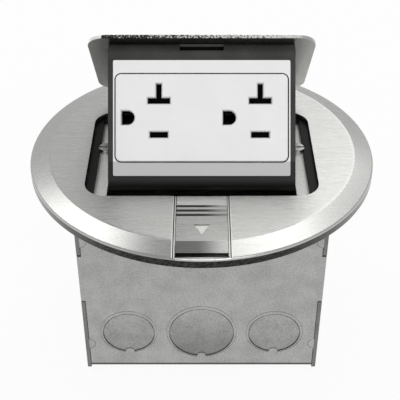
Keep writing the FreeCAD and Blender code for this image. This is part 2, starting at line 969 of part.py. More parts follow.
def make_hinge_bracket(label, side):
    """Bent ear under the mounting plate that carries one end of the hinge pin."""
    body = new_body(label)
    wall = S["bracket_wall"]
    half = S["bracket_width"] / 2
    start = bracket_inside if side > 0 else bracket_outside
    sketch = new_sketch(body, "YZ_Plane", side * start)
    middle = S["hinge_back"]
    low = hinge_z - half
    rectangle(sketch, middle - half, middle + half, low, plate_under)
    feature(body, "Pad", sketch, wall)
    ease(
        body,
        "Fillet",
        half * 0.9,
        lambda e: runs_along(e, 0) and near(e.CenterOfMass.z, low),
    )
    foot = new_sketch(body, "XY_Plane", plate_under)
    outer = bracket_outside + S["bracket_foot"]
    edges = sorted((side * bracket_inside, side * outer), key=number)
    rectangle(foot, edges[0], edges[1], middle - half, middle + half)
    feature(body, "Pad", foot, wall, reverse=True)
    hole = new_sketch(body, "YZ_Plane")
    circle(hole, middle, hinge_z, S["pin_radius"] + S["pin_run"])
    cut_into(body, hole, midplane=True)


def make_hinge_pin():
    """Pin across the box on which the lid and its carrier swing."""
    half = bracket_outside + S["pin_tail"]
    pin = rod(
        "hinge_pin", S["pin_radius"], half * 2, (-half, S["hinge_back"], hinge_z), (1, 0, 0)
    )
    finish(pin, "hinge_pin")


def make_pin_clips():
    """Round clips that keep the pin in its brackets."""
    clips = []
    for side in (-1, 1):
        inner = bracket_outside + S["screw_gap"]
        start = inner if side > 0 else -(inner + S["clip_thick"])
        place = (start, S["hinge_back"], hinge_z)
        disc = rod("pin_clip_disc", S["clip_radius"], S["clip_thick"], place, (1, 0, 0))
        bore = rod(
            "pin_clip_bore", S["pin_radius"] + 0.01, S["clip_thick"], place, (1, 0, 0)
        )
        clips.append(less("pin_clip", disc, [bore]))
    group("pin_clips", clips)


def make_torsion_springs():
    """Coils on the pin that push the lid open."""
    length = S["spring_pitch"].value * S["spring_turns"].value
    reach = S["spring_radius"].value
    solids = []
    for side in (-1, 1):
        coil = Part.makeHelix(S["spring_pitch"].value, length, reach)
        ring = Part.Wire(
            Part.makeCircle(S["spring_wire"].value, Vector(reach, 0, 0), Vector(0, 1, 0))
        )
        solid = Part.Wire(coil.Edges).makePipeShell([ring], True, True)
        solid.rotate(Vector(0, 0, 0), Vector(0, 1, 0), 90)
        inner = arm_inside.value - length - reach
        start = inner if side > 0 else -inner - length
        solid.translate(Vector(start, 0, 0))
        solids.append(solid)
    made = doc.addObject("Part::Feature", "torsion_springs")
    made.Shape = Part.makeCompound(solids)
    made.Placement = FreeCAD.Placement(
        Vector(0, S["hinge_back"].value, hinge_z.value), FreeCAD.Rotation()
    )
    finish(made, "torsion_springs")


def make_lid():
    """Flat lid with rounded corners, brushed like the cover."""
    body = new_body("lid")
    sketch = new_sketch(body, "XY_Plane", lid_under)
    rounded(sketch, -S["lid_half"], S["lid_half"], lid_front, lid_back, S["lid_corner"])
    feature(body, "Pad", sketch, S["lid_thick"])
    ease(
        body,
        "Fillet",
        S["lid_thick"] * 0.25,
        lambda e: near(e.CenterOfMass.z, lid_top),
    )
    holes = new_sketch(body, "XY_Plane", lid_under)
    for x, y in lid_screw_places():
        circle(holes, x, y, S["lid_screw_radius"] + S["pin_run"])
    cut_into(body, holes, S["lid_screw_bite"] + S["pin_run"], reverse=True)
    hang_lid(body)


def lid_screw_places():
    """Places of the four screws between carrier and lid, in the lid's frame."""
    return [
        (side * S["lid_screw_x"], -depth)
        for side in (-1, 1)
        for depth in (S["lid_screw_front"], S["lid_screw_back"])
    ]


def make_carrier():
    """Black housing under the lid that swings the receptacle out of the floor."""
    body = new_body("carrier")
    reach = -S["face_reach"]
    chin = -S["chin_drop"]
    back = -S["carrier_back"]
    wall = S["carrier_wall"]
    boss = S["boss_radius"]
    profile = new_sketch(body, "YZ_Plane")
    outline(
        profile,
        [
            (reach, chin),
            (back, chin),
            (-S["arm_low"], -S["arm_low"]),
            (ZERO, -boss),
            (ZERO, boss),
            (-S["arm_bend"], -S["arm_high"]),
            (back, -S["neck_high"]),
            (back, roof(back)),
            (reach, roof(reach)),
        ],
    )
    feature(body, "Pad", profile, S["carrier_half"] * 2, midplane=True)
    ease(
        body,
        "Fillet",
        S["chin_round"],
        lambda e: runs_along(e, 0) and near(e.CenterOfMass.y, reach),
    )
    bosses = new_sketch(body, "YZ_Plane")
    circle(bosses, ZERO, ZERO, boss)
    feature(body, "Pad", bosses, S["carrier_half"] * 2, midplane=True)
    inside = new_sketch(body, "YZ_Plane")
    front = reach + S["front_wall"]
    floor = chin + wall
    outline(
        inside,
        [
            (front, floor),
            (back, floor),
            (back, chin - wall),
            (boss * 2, chin - wall),
            (boss * 2, roof(back, wall)),
            (back, roof(back, wall)),
            (front, roof(front, wall)),
        ],
    )
    cut_into(body, inside, arm_inside * 2, midplane=True)
    window = new_sketch(body, "XZ_Plane", S["face_reach"])
    gap = S["window_gap"]
    rectangle(
        window,
        -(S["plate_face_half"] + gap),
        S["plate_face_half"] + gap,
        -(S["plate_face_low"] + gap),
        S["plate_face_high"] + gap,
    )
    cut_into(body, window, S["front_wall"])
    catch = new_sketch(body, "XZ_Plane", S["face_reach"])
    rectangle(catch, -S["catch_half"], S["catch_half"], S["catch_low"], S["catch_high"])
    cut_into(body, catch, S["front_wall"] * 1.5)
    bore = new_sketch(body, "YZ_Plane")
    circle(bore, ZERO, ZERO, S["pin_radius"] + S["pin_run"])
    cut_into(body, bore, midplane=True)
    roof_holes = new_sketch(body, "XY_Plane")
    roof_holes.AttachmentOffset = FreeCAD.Placement(
        Vector(0, number(lid_under * sine(lean)), number(lid_under * cosine(lean))),
        FreeCAD.Rotation(Vector(-1, 0, 0), lean.value),
    )
    roof_holes.setExpression("AttachmentOffset.Base.y", (lid_under * sine(lean)).text)
    roof_holes.setExpression("AttachmentOffset.Base.z", (lid_under * cosine(lean)).text)
    roof_holes.setExpression("AttachmentOffset.Rotation.Angle", lean.text)
    for x, y in lid_screw_places():
        circle(roof_holes, x, y, S["lid_screw_radius"] + S["screw_gap"])
    cut_into(body, roof_holes, wall * 1.2)
    side_holes = new_sketch(body, "YZ_Plane")
    circle(
        side_holes,
        -S["strap_screw_depth"],
        device_middle,
        S["strap_screw_radius"] + S["pin_run"],
    )
    cut_into(body, side_holes, midplane=True)
    for side in (-1, 1):
        sink = new_sketch(body, "YZ_Plane", side * S["carrier_half"])
        circle(
            sink,
            -S["strap_screw_depth"],
            device_middle,
            S["strap_screw_head"] + S["pin_run"],
        )
        cut_into(body, sink, S["strap_screw_rise"], reverse=side < 0)
    hang_carrier(body)


def make_face_plate():
    """White surround of the receptacle, set in the carrier's window."""
    body = new_body("face_plate")
    front = S["face_reach"] + S["plate_proud"]
    sketch = new_sketch(body, "XZ_Plane", front)
    rounded(
        sketch,
        -S["plate_face_half"],
        S["plate_face_half"],
        -S["plate_face_low"],
        S["plate_face_high"],
        S["plate_face_corner"],
    )
    feature(body, "Pad", sketch, S["front_wall"] + S["plate_proud"], reverse=True)
    gap = S["device_gap"]
    window = new_sketch(body, "XZ_Plane", front)
    rounded(
        window,
        -(S["device_half"] + gap),
        S["device_half"] + gap,
        -(S["device_low"] + gap),
        S["device_high"] + gap,
        S["device_corner"] + gap,
    )
    cut_into(body, window, S["front_wall"] + S["plate_proud"])
    hang_carrier(body)


def outlets():
    """Middle of the blade slots of the two outlets, left and right."""
    return [
        S["outlet_shift"] - S["outlet_pitch"] / 2,
        S["outlet_shift"] + S["outlet_pitch"] / 2,
    ]


def make_receptacle_face():
    """White face with two outlets, each a T slot, a straight slot and an earth hole."""
    body = new_body("receptacle_face")
    sketch = new_sketch(body, "XZ_Plane", device_front)
    rounded(
        sketch,
        -S["device_half"],
        S["device_half"],
        -S["device_low"],
        S["device_high"],
        S["device_corner"],
    )
    feature(body, "Pad", sketch, S["device_skin"], reverse=True)
    ease(
        body,
        "Fillet",
        S["device_gap"],
        lambda e: near(e.CenterOfMass.y, -device_front),
    )
    centre = device_middle
    slots = new_sketch(body, "XZ_Plane", device_front)
    half = S["slot_thick"] / 2
    for x in outlets():
        low = centre - S["blade_low"] - half
        rectangle(
            slots,
            x - S["slot_wide"] / 2,
            x + S["slot_wide"] / 2,
            low,
            low + S["slot_thick"],
        )
        base = centre + S["blade_rise"] - half
        shelf = base + S["slot_thick"]
        leg = S["leg_wide"] / 2
        bar = S["bar_wide"] / 2
        outline(
            slots,
            [
                (x - bar, base),
                (x + bar, base),
                (x + bar, shelf),
                (x + leg, shelf),
                (x + leg, shelf + S["leg_high"]),
                (x - leg, shelf + S["leg_high"]),
                (x - leg, shelf),
                (x - bar, shelf),
            ],
        )
    cut_into(body, slots, S["device_skin"])
    rounds = new_sketch(body, "XZ_Plane", device_front)
    flats = new_sketch(body, "XZ_Plane", device_front)
    radius = S["earth_radius"]
    for x in outlets():
        hole = x - S["earth_shift"]
        circle(rounds, hole, centre, radius)
        rectangle(flats, hole - S["earth_flat"], hole, centre - radius, centre + radius)
    cut_into(body, rounds, S["device_skin"])
    cut_into(body, flats, S["device_skin"])
    ease(
        body,
        "Chamfer",
        S["slot_bevel"],
        lambda e: near(e.CenterOfMass.y, -device_front) and inner_edge(e),
    )
    hang_carrier(body)


def inner_edge(edge):
    """True for an edge well inside the outline of the receptacle's face."""
    centre = edge.CenterOfMass
    inside_x = abs(centre.x) < S["device_half"].value - 1
    middle = (S["device_high"].value - S["device_low"].value) / 2
    reach = (S["device_high"].value + S["device_low"].value) / 2
    return inside_x and abs(centre.z - middle) < reach - 1


def make_latch_slider():
    """Slider in the cover that the thumb pulls forward to let the lid go."""
    body = new_body("latch_slider")
    top = S["cover_top"] - S["latch_sink"]
    low = plate_top + S["latch_lift"]
    profile = new_sketch(body, "YZ_Plane")
    outline(
        profile,
        [
            (-S["latch_end"], low),
            (-S["opening_front"], low),
            (-S["opening_front"], top),
            (-S["latch_slope"], top),
            (-S["latch_end"], S["latch_nose"]),
        ],
    )
    feature(body, "Pad", profile, S["latch_half"] * 2, midplane=True)
    wings = new_sketch(body, "XY_Plane", low)
    wing = S["latch_half"] + S["wing_reach"]
    rectangle(wings, -wing, wing, -S["latch_end"], -S["opening_front"])
    feature(body, "Pad", wings, S["wing_rise"])
    tongue = new_sketch(body, "XY_Plane", low)
    rectangle(
        tongue,
        -S["tongue_half"],
        S["tongue_half"],
        -(S["opening_front"] + S["tongue_rise"]),
        S["tongue_reach"] - S["opening_front"],
    )
    feature(body, "Pad", tongue, S["tongue_rise"])
    grips = new_sketch(body, "YZ_Plane")
    for step in range(3):
        middle = -(S["grip_first"] + step * S["grip_pitch"])
        half = S["grip_width"] / 2
        outline(
            grips,
            [
                (middle - half, top + S["grip_depth"]),
                (middle - half, top),
                (middle, top - S["grip_depth"]),
                (middle + half, top),
                (middle + half, top + S["grip_depth"]),
            ],
        )
    cut_into(body, grips, S["latch_half"] * 2, midplane=True)
    arrow = new_sketch(body, "XY_Plane", top)
    outline(
        arrow,
        [
            (-S["arrow_half"], -S["arrow_start"]),
            (S["arrow_half"], -S["arrow_start"]),
            (ZERO, -S["arrow_tip"]),
        ],
    )
    cut_into(body, arrow, S["arrow_depth"])
    well = new_sketch(body, "XY_Plane", low)
    rectangle(
        well, -S["well_half"], S["well_half"], -S["well_front"], -S["well_back"]
    )
    cut_into(body, well, S["well_rise"], reverse=True)


def make_latch_rails():
    """Steel strips beside the slider that hold its wings down and follow the bevel."""
    rails = []
    low = plate_top + S["latch_lift"] * 2 + S["wing_rise"]
    top = S["cover_top"] - S["latch_sink"]
    inner = S["latch_half"] + S["latch_gap"]
    width = S["track_half"] - inner
    end = S["latch_sink"] / 2 - track_end
    for side in (-1, 1):
        rail = doc.addObject("PartDesign::Body", "latch_rail")
        start = inner if side > 0 else S["track_half"]
        sketch = new_sketch(rail, "YZ_Plane", side * start)
        outline(
            sketch,
            [
                (end, low),
                (-S["opening_front"], low),
                (-S["opening_front"], top),
                (-S["latch_slope"], top),
                (end, S["rim_top"]),
            ],
        )
        feature(rail, "Pad", sketch, width)
        rails.append(rail)
    group("latch_rails", rails)


def make_latch_spring():
    """Coil between the plate's post and the slider, which pushes the tongue home."""
    length = S["return_pitch"].value * S["return_turns"].value
    wire = S["return_wire"].value
    reach = S["return_radius"].value
    coil = Part.makeHelix(S["return_pitch"].value, length, reach)
    ring = Part.Wire(Part.makeCircle(wire, Vector(reach, 0, 0), Vector(0, 1, 0)))
    solid = Part.Wire(coil.Edges).makePipeShell([ring], True, True)
    solid.rotate(Vector(0, 0, 0), Vector(1, 0, 0), 90)
    made = doc.addObject("Part::Feature", "latch_spring")
    made.Shape = Part.makeCompound([solid])
    centre = plate_top.value + reach + wire + S["latch_lift"].value
    end = -(S["well_back"].value + wire + S["latch_lift"].value)
    made.Placement = FreeCAD.Placement(Vector(0, end, centre), FreeCAD.Rotation())
    finish(made, "latch_spring")


def make_flange_screws():
    """Flush screws from below through the plate into the cover."""
    screws = []
    for x, y in flange_screw_places():
        head = rod(
            "flange_screw_head",
            S["flange_screw_head"],
            S["flange_screw_rise"],
            (x, y, plate_under),
            (0, 0, 1),
        )
        shank = rod(
            "flange_screw_shank",
            S["flange_screw_radius"],
            S["flange_screw_length"],
            (x, y, plate_under),
            (0, 0, 1),
        )
        screws.append(joined("flange_screw", [head, shank]))
    group("flange_screws", screws)


def make_lid_screws():
    """Screws from inside the carrier's roof into the lid."""
    screws = []
    roof_under = lid_under - S["carrier_wall"]
    for x, y in lid_screw_places():
        head = rod(
            "lid_screw_head",
            S["lid_screw_head"],
            S["lid_screw_rise"],
            (x, y, roof_under - S["lid_screw_rise"]),
            (0, 0, 1),
        )
        shank = rod(
            "lid_screw_shank",
            S["lid_screw_radius"],
            S["carrier_wall"] + S["lid_screw_bite"],
            (x, y, roof_under),
            (0, 0, 1),
        )
        screws.append(joined("lid_screw", [head, shank]))
    hang_lid(group("lid_screws", screws))


def make_receptacle_body():
    """Moulded base behind the face with grooves for the contacts."""
    middle = device_middle
    block = box_solid(
        "core_block",
        (-S["core_half"], S["core_half"]),
        (-core_front, -core_back),
        (-S["core_low"], S["core_high"]),
    )
    floor = -(core_back + S["core_wall"])
    left, right = outlets()
    reach = S["groove_reach"]
    slot_low = floor - S["metal"] - S["metal_gap"] * 2
    cuts = [
        box_solid(
            "neutral_groove",
            (left - reach, right + reach),
            (-core_front, floor),
            (middle + S["groove_near"], middle + S["groove_far"]),
        ),
        box_solid(
            "hot_groove",
            (left - reach, right + reach),
            (-core_front, floor),
            (middle - S["groove_hot"], middle - S["groove_near"]),
        ),
        box_solid(
            "earth_groove",
            (left - S["earth_shift"] - S["earth_radius"] - S["metal_gap"], right - reach),
            (-core_front, floor),
            (middle - S["earth_groove"], middle + S["earth_groove"]),
        ),
        box_solid(
            "neutral_slot",
            (left - reach, right + reach),
            (slot_low, floor),
            (middle + S["groove_near"], S["core_high"]),
        ),
        box_solid(
            "hot_slot",
            (left - reach, right + reach),
            (slot_low, floor),
            (-S["core_low"], middle - S["groove_near"]),
        ),
        rod(
            "rivet_hole",
            S["rivet_radius"] + S["pin_run"],
            S["core_wall"],
            (rivet_x(), floor, middle),
            (0, 1, 0),
        ),
    ]
    depth = S["terminal_stem"] + S["metal_gap"]
    low, high = shutter_heights()
    run = S["shutter_run"]
    reach = S["bar_wide"] / 2 + S["shutter_lap"] + run
    for x in outlets():
        cuts.append(
            box_solid(
                "shutter_bed",
                (x - reach - S["shutter_travel"], x + reach),
                (-core_front, contact_tip - S["metal_gap"]),
                (low - run, high + run),
            )
        )
    for x in outlets():
        y = terminal_depth()
        cuts.append(
            rod(
                "neutral_screw_hole",
                S["strap_screw_radius"] + S["screw_gap"],
                depth,
                (x, y, S["core_high"] - depth),
                (0, 0, 1),
            )
        )
        cuts.append(
            rod(
                "hot_screw_hole",
                S["strap_screw_radius"] + S["screw_gap"],
                depth,
                (x, y, -S["core_low"]),
                (0, 0, 1),
            )
        )
    made = finish(less("receptacle_body", block, cuts), "receptacle_body")
    hang_carrier(made)


def shutter_heights():
    """Low and high edge of the shutters up the face."""
    half = S["slot_thick"] / 2
    leg_top = device_middle + S["blade_rise"] + half + S["leg_high"]
    foot = device_middle - S["blade_low"] - half
    return foot - S["shutter_foot"], leg_top + S["shutter_foot"]


def make_shutter(label, x):
    """Plate behind one outlet's slots that slides aside when both blades press it."""
    body = new_body(label)
    half = S["bar_wide"] / 2 + S["shutter_lap"]
    low, high = shutter_heights()
    front = core_front - S["shutter_run"]
    sketch = new_sketch(body, "XZ_Plane", front)
    notch = S["shutter_notch"]
    bridge = x + half - S["shutter_travel"] / 2
    outline(
        sketch,
        [
            (x - half, low),
            (x + half, low),
            (x + half, high),
            (x - half, high),
            (x - half, device_middle + notch),
            (bridge, device_middle + notch),
            (bridge, device_middle - notch),
            (x - half, device_middle - notch),
        ],
    )
    feature(body, "Pad", sketch, S["shutter_thick"], reverse=True)
    hang_carrier(body)


def rivet_x():
    return (outlets()[0] + outlets()[1]) / 2 - S["earth_shift"]


def terminal_depth():
    """Depth of the terminal screws behind the face."""
    return -(core_back + S["core_wall"] + S["tab_length"] / 2)


def make_blade_contacts(label, side):
    """Bus strip with a pair of blade clips for each outlet and two wiring tabs."""
    middle = device_middle
    back = -(core_back + S["core_wall"] + S["metal_gap"])
    near_face = back - S["metal"]
    tip = contact_tip
    left, right = outlets()
    centre = middle + side * S["blade_rise"]
    half = S["blade_thick"] / 2
    outer = S["core_high"] if side > 0 else -S["core_low"]
    lift = S["metal_gap"] / 2
    pieces = []

    def plate(x, y, first, second):
        low, high = sorted((first, second), key=number)
        pieces.append(box_solid(label + "_plate", x, y, (low, high)))

    plate(
        (left - S["clip_half"], right + S["clip_half"]),
        (near_face, back),
        centre - half - S["metal"],
        centre + half + S["metal"],
    )
    for x in outlets():
        span = (x - S["clip_half"], x + S["clip_half"])
        for leaf in (-1, 1):
            inner = centre + leaf * half
            plate(span, (tip, back), inner, inner + leaf * S["metal"])
        wide = (x - S["tab_half"], x + S["tab_half"])
        seat = outer + side * lift
        plate(wide, (near_face, back), centre, seat + side * S["metal"])
        plate(
            wide,
            (back - S["tab_length"], back),
            seat,
            seat + side * S["metal"],
        )
    whole = joined(label + "_whole", pieces)
    holes = []
    for x in outlets():
        start = seat if side > 0 else seat - S["metal"]
        holes.append(
            rod(
                label + "_hole",
                S["strap_screw_radius"] + S["pin_run"],
                S["metal"],
                (x, terminal_depth(), start),
                (0, 0, 1),
            )
        )
    made = finish(less(label, whole, holes), label)
    hang_carrier(made)


def make_terminal_screws(label, side):
    """Binding-head screws on the wiring tabs of one pole."""
    outer = S["core_high"] if side > 0 else -S["core_low"]
    seat = outer + side * (S["metal_gap"] / 2 + S["metal"])
    screws = []
    for x in outlets():
        y = terminal_depth()
        head = rod(
            label + "_head",
            S["terminal_radius"],
            S["terminal_rise"],
            (x, y, seat if side > 0 else seat - S["terminal_rise"]),
            (0, 0, 1),
        )
        length = S["metal"] + S["metal_gap"] / 2 + S["terminal_stem"]
        stem = rod(
            label + "_stem",
            S["strap_screw_radius"],
            length,
            (x, y, seat - length if side > 0 else seat),
            (0, 0, 1),
        )
        whole = joined(label + "_whole", [head, stem])
        half = S["terminal_radius"]
        depth = S["terminal_rise"] / 2
        top = seat + side * S["terminal_rise"]
        slot = box_solid(
            label + "_slot",
            (x - half, x + half),
            (y - half * 0.15, y + half * 0.15),
            (top - depth if side > 0 else top, top if side > 0 else top + depth),
        )
        screws.append(less(label + "_screw", whole, [slot]))
    hang_carrier(group(label, screws))


def make_earth_contacts():
    """Earth strip with two clips, riveted through the base to the strap."""
    middle = device_middle
    back = -(core_back + S["core_wall"] + S["metal_gap"])
    near_face = back - S["metal"]
    tip = contact_tip
    left, right = (x - S["earth_shift"] for x in outlets())
    half = S["blade_thick"]
    reach = half + S["metal"]
    pieces = [
        box_solid(
            "earth_strip",
            (left - half, right + half),
            (near_face, back),
            (middle - reach, middle + reach),
        )
    ]
    for x in (left, right):
        for leaf in (-1, 1):
            inner = middle + leaf * half
            low, high = sorted((inner, inner + leaf * S["metal"]), key=number)
            pieces.append(
                box_solid("earth_leaf", (x - half, x + half), (tip, back), (low, high))
            )
    pieces.append(
        rod(
            "earth_rivet",
            S["rivet_radius"],
            S["core_wall"] + S["metal_gap"],
            (rivet_x(), back, middle),
            (0, 1, 0),
        )
    )
    hang_carrier(finish(joined("earth_contacts", pieces), "earth_contacts"))


def make_receptacle_strap():
    """Steel strap round the back of the receptacle, screwed to the carrier's sides."""
    middle = device_middle
    outer = arm_inside - S["screw_gap"]
    inner = outer - S["strap_thick"]
    back = -core_back
    pieces = [
        box_solid(
            "strap_back",
            (-outer, outer),
            (back, back + S["strap_thick"]),
            (middle - S["strap_half"], middle + S["strap_half"]),
        )
    ]
    holes = []
    for side in (-1, 1):
        low, high = sorted((side * inner, side * outer), key=number)
        pieces.append(
            box_solid(
                "strap_leg",
                (low, high),
                (back - S["strap_leg"], back + S["strap_thick"]),
                (middle - S["strap_half"], middle + S["strap_half"]),
            )
        )
        holes.append(
            rod(
                "strap_hole",
                S["strap_screw_radius"] + S["pin_run"],
                S["strap_thick"],
                (low, -S["strap_screw_depth"], middle),
                (1, 0, 0),
            )
        )
    whole = joined("strap_whole", pieces)
    hang_carrier(finish(less("receptacle_strap", whole, holes), "receptacle_strap"))


def make_strap_screws():
    """Flush screws through the carrier's sides into the strap."""
    screws = []
    inner = arm_inside - S["screw_gap"] - S["strap_thick"]
    for side in (-1, 1):
        start = S["carrier_half"] - S["strap_screw_rise"] if side > 0 else -S["carrier_half"]
        place = (start, -S["strap_screw_depth"], device_middle)
        head = rod(
            "strap_screw_head",
            S["strap_screw_head"],
            S["strap_screw_rise"],
            place,
            (1, 0, 0),
        )
        low, high = sorted((side * inner, side * S["carrier_half"]), key=number)
        stem = rod(
            "strap_screw_stem",
            S["strap_screw_radius"],
            high - low,
            (low, -S["strap_screw_depth"], device_middle),
            (1, 0, 0),
        )
        screws.append(joined("strap_screw", [head, stem]))
    hang_carrier(group("strap_screws", screws))


def make_wiring_cover():
    """Plate that closes the back of the carrier, with a round way in for wires."""
    body = new_body("wiring_cover")
    gap = S["screw_gap"]
    sketch = new_sketch(body, "XZ_Plane", S["carrier_back"])
    rectangle(
        sketch,
        gap - arm_inside,
        arm_inside - gap,
        S["carrier_wall"] + gap - S["chin_drop"],
        roof(-S["carrier_back"], S["carrier_wall"] + gap),
    )
    circle(sketch, ZERO, -S["wire_entry_drop"], S["wire_entry"])
    feature(body, "Pad", sketch, S["cover_wall"])
    hang_carrier(body)


def make_earth_screw():
    """Hexagon earth screw in the floor of the box."""
    prism = doc.addObject("Part::Prism", "earth_screw_head")
    prism.Polygon = 6
    bind(prism, "Circumradius", S["earth_screw_head"])
    bind(prism, "Height", S["earth_screw_rise"])
    floor = S["box_wall"] - S["box_bottom"]
    place = (S["earth_screw_x"], S["earth_screw_y"], floor)
    prism.Placement = FreeCAD.Placement(
        Vector(*[number(p) for p in place]), FreeCAD.Rotation()
    )
    for letter, size in zip("xyz", place):
        prism.setExpression("Placement.Base." + letter, size.text)
    stem = rod(
        "earth_screw_stem",
        S["earth_screw_radius"],
        S["box_wall"],
        (S["earth_screw_x"], S["earth_screw_y"], -S["box_bottom"]),
        (0, 0, 1),
    )
    finish(joined("earth_screw", [prism, stem]), "earth_screw")


def write_parts():
    """Checks every object and writes each sub-part to its own file."""
    doc.recompute()
    faults = []
    for thing in doc.Objects:
        if "Invalid" in thing.State or "Error" in thing.State:
            faults.append(thing.Name + " did not build")
    for node in NODES:
        if node.Shape.isNull() or not node.Shape.isValid():
            faults.append(node.Label + " has no valid shape")
    if faults:
        raise RuntimeError("; ".join(faults))
    os.makedirs("parts", exist_ok=True)
    for node in NODES:
        node.Shape.exportStep("parts/" + node.Label + ".step")
        print(node.Label, len(node.Shape.Solids), round(node.Shape.Volume, 1))


make_cover_flange()
make_floor_gasket()
make_mounting_plate()
make_lid_gasket()
make_cover_screws()
make_box_body()
make_box_end("box_end_left", -1)
make_box_end("box_end_right", 1)
make_hinge_bracket("hinge_bracket_left", -1)
make_hinge_bracket("hinge_bracket_right", 1)
make_hinge_pin()
make_pin_clips()
make_torsion_springs()
make_lid()
make_carrier()
make_face_plate()
make_receptacle_face()
make_latch_slider()
make_latch_rails()
make_latch_spring()
make_flange_screws()
make_lid_screws()
make_receptacle_body()
make_shutter("shutter_left", outlets()[0])
make_shutter("shutter_right", outlets()[1])
make_blade_contacts("neutral_contacts", 1)
make_blade_contacts("hot_contacts", -1)
make_earth_contacts()
make_terminal_screws("silver_terminals", 1)
make_terminal_screws("brass_terminals", -1)
make_receptacle_strap()
make_strap_screws()
make_wiring_cover()
make_earth_screw()
write_parts()
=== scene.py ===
import json
import logging
import math
from dataclasses import dataclass
from enum import Enum
from typing import Any

import bmesh
import bpy
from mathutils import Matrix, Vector

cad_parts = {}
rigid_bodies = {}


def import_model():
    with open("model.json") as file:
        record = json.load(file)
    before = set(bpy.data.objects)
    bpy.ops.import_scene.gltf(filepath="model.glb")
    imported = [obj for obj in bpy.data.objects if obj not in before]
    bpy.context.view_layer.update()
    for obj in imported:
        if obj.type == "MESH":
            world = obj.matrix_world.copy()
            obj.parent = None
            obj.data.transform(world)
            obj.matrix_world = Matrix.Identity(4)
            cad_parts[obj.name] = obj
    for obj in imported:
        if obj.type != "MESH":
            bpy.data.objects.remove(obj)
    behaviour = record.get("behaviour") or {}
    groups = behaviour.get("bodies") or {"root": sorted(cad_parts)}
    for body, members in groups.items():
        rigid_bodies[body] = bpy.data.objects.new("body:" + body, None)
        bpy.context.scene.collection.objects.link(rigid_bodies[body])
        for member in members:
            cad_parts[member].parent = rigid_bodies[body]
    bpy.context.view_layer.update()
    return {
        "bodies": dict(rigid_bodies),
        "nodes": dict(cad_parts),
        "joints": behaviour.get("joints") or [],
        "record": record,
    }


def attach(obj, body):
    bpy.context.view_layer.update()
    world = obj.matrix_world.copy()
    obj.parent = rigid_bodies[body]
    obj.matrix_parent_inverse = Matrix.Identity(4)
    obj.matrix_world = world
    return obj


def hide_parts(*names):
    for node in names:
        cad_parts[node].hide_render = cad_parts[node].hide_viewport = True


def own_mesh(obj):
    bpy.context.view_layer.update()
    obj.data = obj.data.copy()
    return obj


# Lengths are in millimetres and angles in degrees; MM turns a length into metres.
# A Pair is mostly the two ends of a fade, from the low value to the high one.
MM = 0.001
Pair = tuple[float, float]
Triple = tuple[float, float, float]

# The part of a noise's range over which its patches turn from dark to light.
CONTRAST = (0.3, 0.7)

# Factors on red, green and blue that give bare metal its faint warm cast.
STEEL_CAST = (0.99, 1.0, 0.965)

# Sockets of Blender's Mix node for two colours: share, both colours, result.
MIX_SHARE, MIX_FIRST, MIX_SECOND, MIX_RESULT = 0, 6, 7, 2

log = logging.getLogger("floor_socket_box")


class Socket:
    """A shader value on which Python's operators add Math nodes."""

    def __init__(self, tree: "Tree", link: Any) -> None:
        """Keeps an output socket and the tree that it is in."""
        self.tree = tree
        self.link = link

    def _math(self, operation: str, first: Any, second: Any) -> "Socket":
        """Adds one Math node to two values, each a Socket or a number."""
        settings = {"operation": operation}
        return self.tree.node("ShaderNodeMath", settings, {0: first, 1: second})

    def __add__(self, other: Any) -> "Socket":
        """Sum."""
        return self._math("ADD", self, other)

    def __radd__(self, other: Any) -> "Socket":
        """Sum with a number first."""
        return self._math("ADD", other, self)

    def __sub__(self, other: Any) -> "Socket":
        """Difference."""
        return self._math("SUBTRACT", self, other)

    def __rsub__(self, other: Any) -> "Socket":
        """Difference with a number first."""
        return self._math("SUBTRACT", other, self)

    def __mul__(self, other: Any) -> "Socket":
        """Product."""
        return self._math("MULTIPLY", self, other)

    def __rmul__(self, other: Any) -> "Socket":
        """Product with a number first."""
        return self._math("MULTIPLY", other, self)

    def above(self, low: float, high: float) -> "Socket":
        """Smooth mask that is 0 up to low and 1 from high on.

        Args:
            low: Value at which the mask starts.
            high: Value at which it is full.

        Returns:
            The mask.
        """
        settings = {"interpolation_type": "SMOOTHSTEP", "clamp": True}
        inputs = {"Value": self, "From Min": low, "From Max": high}
        return self.tree.node("ShaderNodeMapRange", settings, inputs)

    def below(self, low: float, high: float) -> "Socket":
        """Smooth mask that is 1 up to low and 0 from high on."""
        return 1.0 - self.above(low, high)

    def between(self, low: float, high: float, fade: float) -> "Socket":
        """Mask that rises from low and falls from high, each over the fade."""
        return self.above(low, low + fade) * self.below(high, high + fade)


